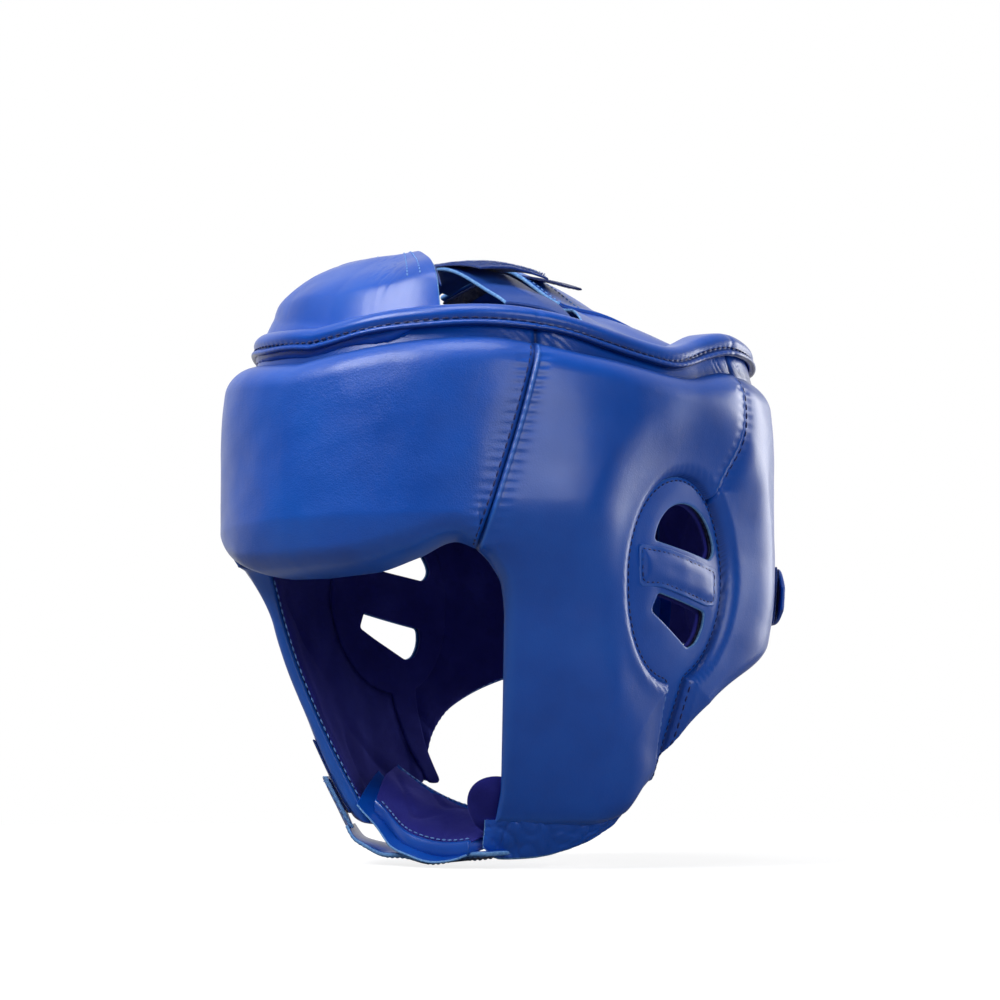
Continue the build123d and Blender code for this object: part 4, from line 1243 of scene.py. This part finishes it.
dart = [(u, SEAM_V + SEAM_TILT * (u - 0.4)) for u in (0.06, 0.76)]
front_rows = [crown_row(FRONT_ARC, FRONT_EDGE, run, FRONT_TOP + offset, front_lift) for run, offset in (
    (dart, 0.3), (((0.955, 0.2), (0.955, 0.985)), 0.1), (((0.92, 0.2), (0.92, 0.985)), 0.1),
    (((0.10, SEAM_V), (0.19, SEAM_V + 0.12)), 0.1))]
stitches("front_flap_stitches", front_rows, PALE_THREAD, "front_crown_flap", **CROWN_SEWING)
rear_rows = [crown_row(REAR_ARC, FREE_REAR, ((0.02, share), (0.98, share)), FLAP[1] + 0.05, rear_lift)
             for share in (0.97, 0.86)]
stitches("rear_flap_stitches", rear_rows, PALE_THREAD, "rear_crown_flap", **CROWN_SEWING)
right_rows = [crown_row(FOLD_RIGHT, FREE_RIGHT, run, FLAP[1] + 0.05) for run in (
    ((0.07, 0.04), (0.07, 0.96), (0.93, 0.96), (0.93, 0.04)), ((0.07, 0.69), (0.93, 0.69)))]
stitches("right_strap_stitches", right_rows, PALE_THREAD, "right_crown_flap", **CROWN_SEWING)


# ---------------------------------------------------------------- chin
CUP_FRONT, CUP_REAR = -46.0, -12.0
STRAP_FRONT = (((0, 36), (0.3, 0), (0.6, -25), (0.82, -38), (1, -44)), ((0, -47), (0.82, -45), (1, -44)),
               ((0, -109.5), (0.3, -109), (0.6, -106), (0.82, -102), (1, -96.5)))
STRAP_REAR = (((0, 42), (0.3, 0), (0.6, -35), (0.82, -58), (1, -67)), ((0, -20), (0.82, -19), (1, -18)),
              ((0, -108.5), (0.3, -108), (0.6, -105.5), (0.82, -102.5), (1, -96.5)))
STRAP_THICK = 2.0
END_FRONT, END_REAR, END_HEIGHTS = 47.0, 74.0, (-98.0, -77.0)
CUP_DRAWN_BACK = 6.5     # how far the cup's front edge draws back to meet the right cheek
BASE_FALL = ((0, 8.5), (0.12, 13.0), (0.35, 12.0), (0.7, 6.5), (1, 1.0))   # depth of the underside piece
LOBE_HALF, LOBE_RADIUS = (11.0, 11.5), 52.0
LOBE_PLACE = (41.5, -88.5)     # angle and height of the end pad's middle
CHEEK_HANG = -88.0             # below this height the tab hangs straight down


def cup_point(u, v, down):
    """Points of the chin cup: u runs from the right cheek to the cup's free end, v from front to rear."""
    x = (-31 - 15 * v) * (1 - u) + 28 * u
    y = CUP_FRONT + (CUP_REAR - CUP_FRONT) * v + CUP_DRAWN_BACK * (1 - smooth(u / 0.45)) * (1 - v)
    z = -102.5 + 0.0075 * (x - 15) ** 2 * (1 - 0.35 * v) + 11 * v
    return np.stack([x, y, z - down], -1)


def sheet_shell(name, at, wide, long, thick, skin, cut=None, spacing=1.0, soft=(False, False, False, False),
                body="root", slot="leather", node=(), bend=None, tags=None):
    """A closed piece between at(u, v, 0) and at(u, v, 1); soft says which of its four edges, at
    u=0, u=1, v=0 and v=1, run on into another piece and aren't rounded."""
    u = shares(max(int(wide / spacing / FINE), 8), 0.6)[:, None]
    v = shares(max(int(long / spacing / FINE), 6), 0.6)[None, :]
    u, v = np.broadcast_arrays(u, v)
    reaches = (u * wide, (1 - u) * wide, v * long, (1 - v) * long)
    gap = np.minimum.reduce([g + (99.0 if runs_on else 0.0) for g, runs_on in zip(reaches, soft)])
    k = roll(gap + 0.05, min(thick / 2, 3.5))[..., None]
    p, q = at(u, v, 0), at(u, v, 1)
    middle = (p + q) / 2
    points, faces, side, used = shell(middle + (p - middle) * k, middle + (q - middle) * k)
    flag = (((gap[:-1, :-1] + gap[1:, 1:]) / 2) < 0.5).ravel()
    slots = np.concatenate([flag, flag, np.ones((side == 2).sum(), bool)]).astype(np.int32) if cut else None
    # tags(u, v) is a painted shade on both faces.
    shade = np.clip(tags(u, v), 0, 1).ravel() if tags else np.zeros(u.size)
    marks = {"groove_shade": np.concatenate([shade, shade])[used], "edge": np.zeros(len(used))}
    obj = make_object(name, points, faces, [skin, cut] if cut else [skin], slots=slots, attributes=marks,
                      body=None if bend else body, slot=slot)
    if bend:
        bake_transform(obj)
    if node:
        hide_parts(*node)
    return obj


def strap_point(u, v):
    front = np.stack([curve(stations, u) for stations in STRAP_FRONT], -1)
    rear = np.stack([curve(stations, u) for stations in STRAP_REAR], -1)
    return front + (rear - front) * v[..., None]


def strap_at(u, v, side):
    """The chin strap's two faces, softly waved where it hangs free."""
    p = strap_point(u, v)
    lean = np.maximum(u - 0.6, 0.0) / 0.4
    out = STRAP_THICK * side
    wave = 0.9 * np.sin(u * 17 + 1.0) * bell(u - 0.4, 0.3) * (1 - 0.5 * v) + 3.5 * (1 - smooth(u / 0.3))
    return np.stack([p[..., 0] - out * lean * 0.8, p[..., 1], p[..., 2] - out * (1 - 0.5 * lean) + wave], -1)


def cup_lining_at(u, v, side):
    puff = 3.0 * roll(np.minimum(u + 0.3, 1 - u) * 30, 9) * np.sin(np.pi * np.clip(v, 0.02, 0.98)) ** 0.6
    soft = 0.8 * ripples(61, 20, u * 60, v * 34) - 1.2 * creases(62, 26, u * 60, v * 40)
    p = cup_point(u * 1.02 - 0.02, v, LINING + 0.3)
    lifted = p + np.stack([0 * u, 0 * u, puff + soft * bell(u - 0.4, 0.5) + 0.9], -1)
    return lifted if side == 0 else p


def cup_cover_at(u, v, side):
    """The leather under the cup, which turns up over its front and rear edges to the suede."""
    lip = 3.6 * (bell(v, 0.09) + bell(1 - v, 0.09))
    down = LINING + 0.4 + side * 4.4 - lip * (1 - side) * 0.6
    spread = (v - 0.5) * 1.12 + 0.5
    return cup_point(u * 1.02 - 0.02, spread, down + 0.4 * ripples(63, 24, u * 60, v * 34) * side)


def fringe_at(u, v, side):
    """The wavy second layer of leather between cup and strap."""
    p = cup_point(u * 1.13 - 0.15, v * 1.02 - 0.18, 6.7 + 0.9 * side)
    wave = 1.0 * np.sin(u * 13 + 0.6) * (1 - v) * bell(u - 0.5, 0.4)
    return p + np.stack([0 * u, -1.5 * (1 - v), 0.5 * wave + 1.5 * (1 - v)], -1)


def base_at(u, v, side):
    """The underside piece, from inside the cheek's lower edge down to the strap."""
    angle = 37 + 59 * u
    edge = curve(CHEEK_LOW, angle)
    fall = curve(BASE_FALL, u)
    top_in = 0.45 * pad_depth(np.maximum(angle, 44.5), edge + 5) * smooth((u - 0.02) / 0.12) + 1.0
    z = edge + 2.2 - (fall + 2.2) * v
    fold = 0.9 * creases(65, 9, u * 66, v * 16) + 0.5 * ripples(64, 12, u * 66, v * 14)
    depth = top_in * (1 - v) + 6.5 * v + 2.4 * side - fold * (0.3 + 0.7 * side)
    return head_point(angle, z, depth)


def lobe_at(points, offset):
    """The left cheek's end pad, laid on the wall inside its lower front corner."""
    angle = LOBE_PLACE[0] + np.degrees(points[:, 0] / LOBE_RADIUS)
    return head_point(angle, LOBE_PLACE[1] + points[:, 1], offset)


def cheek_at(front, rear, heights, depths, wave=0.0):
    """A layer on the right cheek between two angles, two heights and two depths over its leather."""
    def at(u, v, side):
        angle = front + (rear - front) * u
        z = heights[0] + (heights[1] - heights[0]) * v
        depth = pad_depth(angle, np.maximum(z, CHEEK_HANG)) + depths[0] + (depths[1] - depths[0]) * side
        return mirrored(head_point(angle, z, depth + wave * ripples(66, 14, u * 36, v * 17)), -1)
    return at


def build_cup():
    lining = sheet_shell("chin_cup_suede", cup_lining_at, 60, 34, 4.5, SUEDE, spacing=0.9,
                         soft=(True, False, False, False), slot="suede", node=["chin_cup_lining"])
    cover = sheet_shell("chin_cup_leather", cup_cover_at, 62, 40, 4.0, SMOOTH, spacing=0.9,
                        soft=(True, False, False, False), node=["chin_cup_cover", "chin_cup_foam"])
    sheet_shell("chin_cup_flap", fringe_at, 60, 28, 0.9, SMOOTH, RAW, soft=(True, False, False, False))


def build_strap():
    # The strap's tags paint shade along its two stitch rows.
    sheet_shell("chin_strap_leather", strap_at, 108, 28, 2.0, SMOOTH, RAW, node=["chin_strap"],
                bend=("root", "chin_strap_body", (0.041, -0.033, -0.1118), (0.034, -0.033, -0.1118)),
                tags=lambda u, v: 0.6 * bell(v * 28 - 2.2, 0.5) + 0.6 * bell((1 - v) * 28 - 2.2, 0.5))
    sheet_shell("chin_strap_base_leather", base_at, 66, 14, 2.4, SMOOTH, RAW, spacing=0.7,
                soft=(False, True, True, False), node=["chin_strap_base"])


def build_cheek_end_pad():
    t = np.linspace(0, 2 * np.pi, 90)[:-1]
    lobe = np.stack([LOBE_HALF[0] * np.cos(t), LOBE_HALF[1] * np.sin(t)], 1)
    pad_end = patch("left_cheek_end_pad", lobe, [], lobe_at, -2.6, 3.0, SUEDE, spacing=1.2, radius=6.0,
                    dent=lambda p, d: 0.5 * ripples(67, 10, p[:, 0], p[:, 1]), slot="suede")


def build_tab():
    """The strap's end on the right cheek, with its hook tape and the loop tape under it."""
    first, last = END_FRONT + 1, END_REAR - 1
    sheet_shell("chin_loop_tape", cheek_at(first, last, (-92.0, -62.0), (0.3, 1.3)), 36, 30, 1.0, LOOP_TAPE,
                LOOP_TAPE, slot="loop_tape", node=["chin_loop_patch"])
    sheet_shell("chin_end_hook_tape", cheek_at(first, last, (-91.0, -78.0), (1.5, 2.5)), 36, 13, 1.0,
                HOOK_TAPE, HOOK_TAPE, body="chin_strap_tab", slot="hook_tape", node=["chin_end_hook"])
    bend = ("chin_strap_body", "chin_strap_tab", (-0.0578, -0.034, -0.0975), (-0.0578, -0.034, -0.0925))
    sheet_shell("chin_strap_end_leather", cheek_at(END_FRONT, END_REAR, END_HEIGHTS, (2.6, 4.4), 0.15), 38,
                21, 1.8, SMOOTH, RAW, node=["chin_strap_end"], bend=bend)


def sew_chin():
    rows = []
    for v in (0.09, 0.91):
        u = np.linspace(0.03, 0.97, 160)
        rows.append(strap_at(u, np.full_like(u, v), 1) - np.array([0, 0, 0.1]))
    stitches("chin_strap_stitches", rows, PALE_THREAD, "chin_strap_body", size=0.3, stitch=(2.0, 2.9))
    u = np.linspace(0.02, 0.97, 160)
    edges = [cup_point(u, np.full_like(u, v), -0.6) + np.array([0, dy, 0])
             for v, dy in ((0.0, 0.8), (1.0, -0.8))]
    stitches("chin_cup_stitches", edges, PALE_THREAD, size=0.32, stitch=(2.2, 3.1))
    at = cheek_at(END_FRONT, END_REAR, END_HEIGHTS, (2.6, 4.45), 0.15)
    frame_uv = along(np.array([(0.05, 0.12), (0.05, 0.9), (0.95, 0.9), (0.95, 0.12)]), 0.01)
    stitches("chin_end_stitches", [at(frame_uv[:, 0], frame_uv[:, 1], 1)], PALE_THREAD, "chin_strap_tab",
             size=0.3, stitch=(2.0, 2.9))


build_cup()
build_strap()
build_cheek_end_pad()
build_tab()
sew_chin()


# ---------------------------------------------------------------- nape strap
def build_nape():
    heights = (-13.0, 11.0)

    def band(first, last, low, high, inner, outer, wave=0.0):
        def at(u, v, side):
            angle = first + (last - first) * u
            z = low + (high - low) * v
            depth = NAPE_DEPTH + inner + (outer - inner) * side + wave * ripples(71, 20, u * 60, v * 24)
            return head_point(angle, z, depth)
        return at

    sheet_shell("nape_loop_tape", band(146, 173, *heights, 0.0, 1.0), 56, 24, 1.0, LOOP_TAPE, LOOP_TAPE,
                slot="loop_tape", node=["nape_loop_patch"])
    sheet_shell("nape_hook_tape", band(147, 170, -12.0, 10.0, 1.2, 2.2), 48, 22, 1.0, HOOK_TAPE, HOOK_TAPE,
                body="nape_strap_body", slot="hook_tape", node=["nape_strap_hook"])
    full_band = band(144, 195, *heights, 2.3, 4.0, 0.12)

    def strap(u, v, side):
        """The strap, its free end narrowed to a tongue."""
        narrow = 0.34 + 0.66 * smooth((np.asarray(u) + 0.03) / 0.16)
        return full_band(u, 0.5 + (v - 0.5) * narrow - 0.12 * (1 - narrow), side)

    sheet_shell("nape_strap_leather", strap, 108, 24, 1.7, TRIM, body="nape_strap_body", node=["nape_strap"])
    anchor = band(196.5, 212, *heights, 0.0, 4.0, 0.1)
    sheet_shell("nape_anchor_leather", anchor, 33, 24, 4.0, TRIM, node=["nape_strap_anchor"])
    frame_uv = along(np.array([(0.98, 0.1), (0.025, 0.1), (0.025, 0.9), (0.98, 0.9)]), 0.01)
    inner_uv = along(np.array([(0.44, 0.1), (0.44, 0.9)]), 0.01)
    strap_rows = [strap(uv[:, 0], uv[:, 1], 1) for uv in (frame_uv, inner_uv)]
    stitches("nape_strap_stitches", strap_rows, PALE_THREAD, "nape_strap_body", size=0.3, stitch=(2.2, 3.1))
    corners = [(0.15, 0.12), (0.85, 0.12), (0.85, 0.88), (0.15, 0.88), (0.15, 0.12), (0.85, 0.88)]
    box_uv = along(np.array(corners), 0.01)
    stitches("nape_anchor_stitches", [anchor(box_uv[:, 0], box_uv[:, 1], 1)], PALE_THREAD, size=0.3,
             stitch=(2.2, 3.1))


build_nape()


# ---------------------------------------------------------------- studio
def look_from(azimuth, pitch_up, place, lens):
    camera = bpy.data.objects.new("camera", bpy.data.cameras.new("camera"))
    camera.data.lens = lens
    camera.data.sensor_width = 36.0
    camera.location = place
    camera.rotation_euler = (math.radians(90 + pitch_up), 0, math.radians(azimuth))
    bpy.context.scene.collection.objects.link(camera)
    bpy.context.scene.camera = camera


def softbox(name, place, target, size, power):
    lamp = bpy.data.lights.new(name, "AREA")
    lamp.shape, lamp.size, lamp.energy = "DISK", size, power
    obj = bpy.data.objects.new(name, lamp)
    obj.location = place
    obj.rotation_euler = (Vector(target) - Vector(place)).to_track_quat("-Z", "Y").to_euler()
    bpy.context.scene.collection.objects.link(obj)


AZIMUTH, PITCH_UP, LENS, STAND_OFF, CAMERA_HEIGHT = 43.0, 6.5, 87.26, 1.0, -0.077
toward = Vector((math.sin(math.radians(AZIMUTH)), -math.cos(math.radians(AZIMUTH)), 0))
sideways = Vector((math.cos(math.radians(AZIMUTH)), math.sin(math.radians(AZIMUTH)), 0))
up = Vector((0, 0, 1))
look_from(AZIMUTH, PITCH_UP, toward * STAND_OFF + up * CAMERA_HEIGHT, LENS)

softbox("overhead", toward * 0.2 + up * 1.1, (0, 0, 0.05), 0.6, 4.0)
softbox("key", toward * 0.45 - sideways * 0.65 + up * 0.85, (0, 0, 0), 0.7, 11.0)
softbox("rim", sideways * 1.0 - toward * 0.75 + up * 0.25, (0, 0, 0), 0.7, 4.5)
softbox("fill", toward * 1.1 + sideways * 0.8 + up * 0.35, (0, 0, -0.03), 0.9, 6.0)


def white_studio():
    """White behind everything the camera sees; light that is low in front and bright behind the stand."""
    world = bpy.data.worlds.new("studio")
    world.use_nodes = True
    nodes, links = world.node_tree.nodes, world.node_tree.links
    around = nodes["Background"]
    behind = nodes.new("ShaderNodeVectorMath")
    behind.operation = "DOT_PRODUCT"
    behind.inputs[1].default_value = -toward
    links.new(nodes.new("ShaderNodeTexCoord").outputs["Generated"], behind.inputs[0])
    share = nodes.new("ShaderNodeMapRange")
    for key, v in (("From Min", 0.0), ("From Max", 0.95), ("To Min", 0.06), ("To Max", 0.85)):
        share.inputs[key].default_value = v
    links.new(behind.outputs["Value"], share.inputs["Value"])
    links.new(share.outputs["Result"], around.inputs["Strength"])
    around.inputs["Color"].default_value = (1, 1, 1, 1)
    seen = nodes.new("ShaderNodeBackground")
    mix = nodes.new("ShaderNodeMixShader")
    links.new(nodes.new("ShaderNodeLightPath").outputs["Is Camera Ray"], mix.inputs["Fac"])
    links.new(around.outputs[0], mix.inputs[1])
    links.new(seen.outputs[0], mix.inputs[2])
    seen.inputs["Color"].default_value = (1, 1, 1, 1)
    links.new(mix.outputs[0], nodes["World Output"].inputs["Surface"])
    bpy.context.scene.world = world


white_studio()
bpy.context.scene.view_settings.view_transform = "Standard"

FLOOR_RADIUS, FLOOR_SIDES = 0.9, 96


def floor_paint():
    """Pale paint, brighter to the camera than to the light that it sends back."""
    paint = Shader("floor_paint")
    tone = paint.ramp(paint.noise(3, 2), (0.0, (0.30, 0.30, 0.30)), (1.0, (0.32, 0.32, 0.32)))
    paint.finish(tone, 0.9, Specular_IOR_Level=0.0, Emission_Color=(1, 1, 1, 1), Emission_Strength=0.82)
    dim = paint.nodes.new("ShaderNodeBsdfDiffuse")
    dim.inputs["Color"].default_value = (0.25, 0.25, 0.25, 1)
    pick = paint.nodes.new("ShaderNodeMixShader")
    paint.links.new(paint.nodes.new("ShaderNodeLightPath").outputs["Is Camera Ray"], pick.inputs["Fac"])
    paint.links.new(dim.outputs[0], pick.inputs[1])
    paint.links.new(paint.surface.outputs[0], pick.inputs[2])
    paint.links.new(pick.outputs[0], paint.nodes["Material Output"].inputs["Surface"])
    return paint.material


def lay_floor():
    height = CAD_BOX[0][2] - 0.001
    turns = [2 * math.pi * k / FLOOR_SIDES for k in range(FLOOR_SIDES)]
    rim = [(FLOOR_RADIUS * math.cos(t), FLOOR_RADIUS * math.sin(t), height) for t in turns]
    mesh = bpy.data.meshes.new("floor")
    mesh.from_pydata(rim, [], [tuple(range(FLOOR_SIDES))])
    mesh.materials.append(floor_paint())
    floor = bpy.data.objects.new("floor", mesh)
    bpy.context.scene.collection.objects.link(floor)


lay_floor()
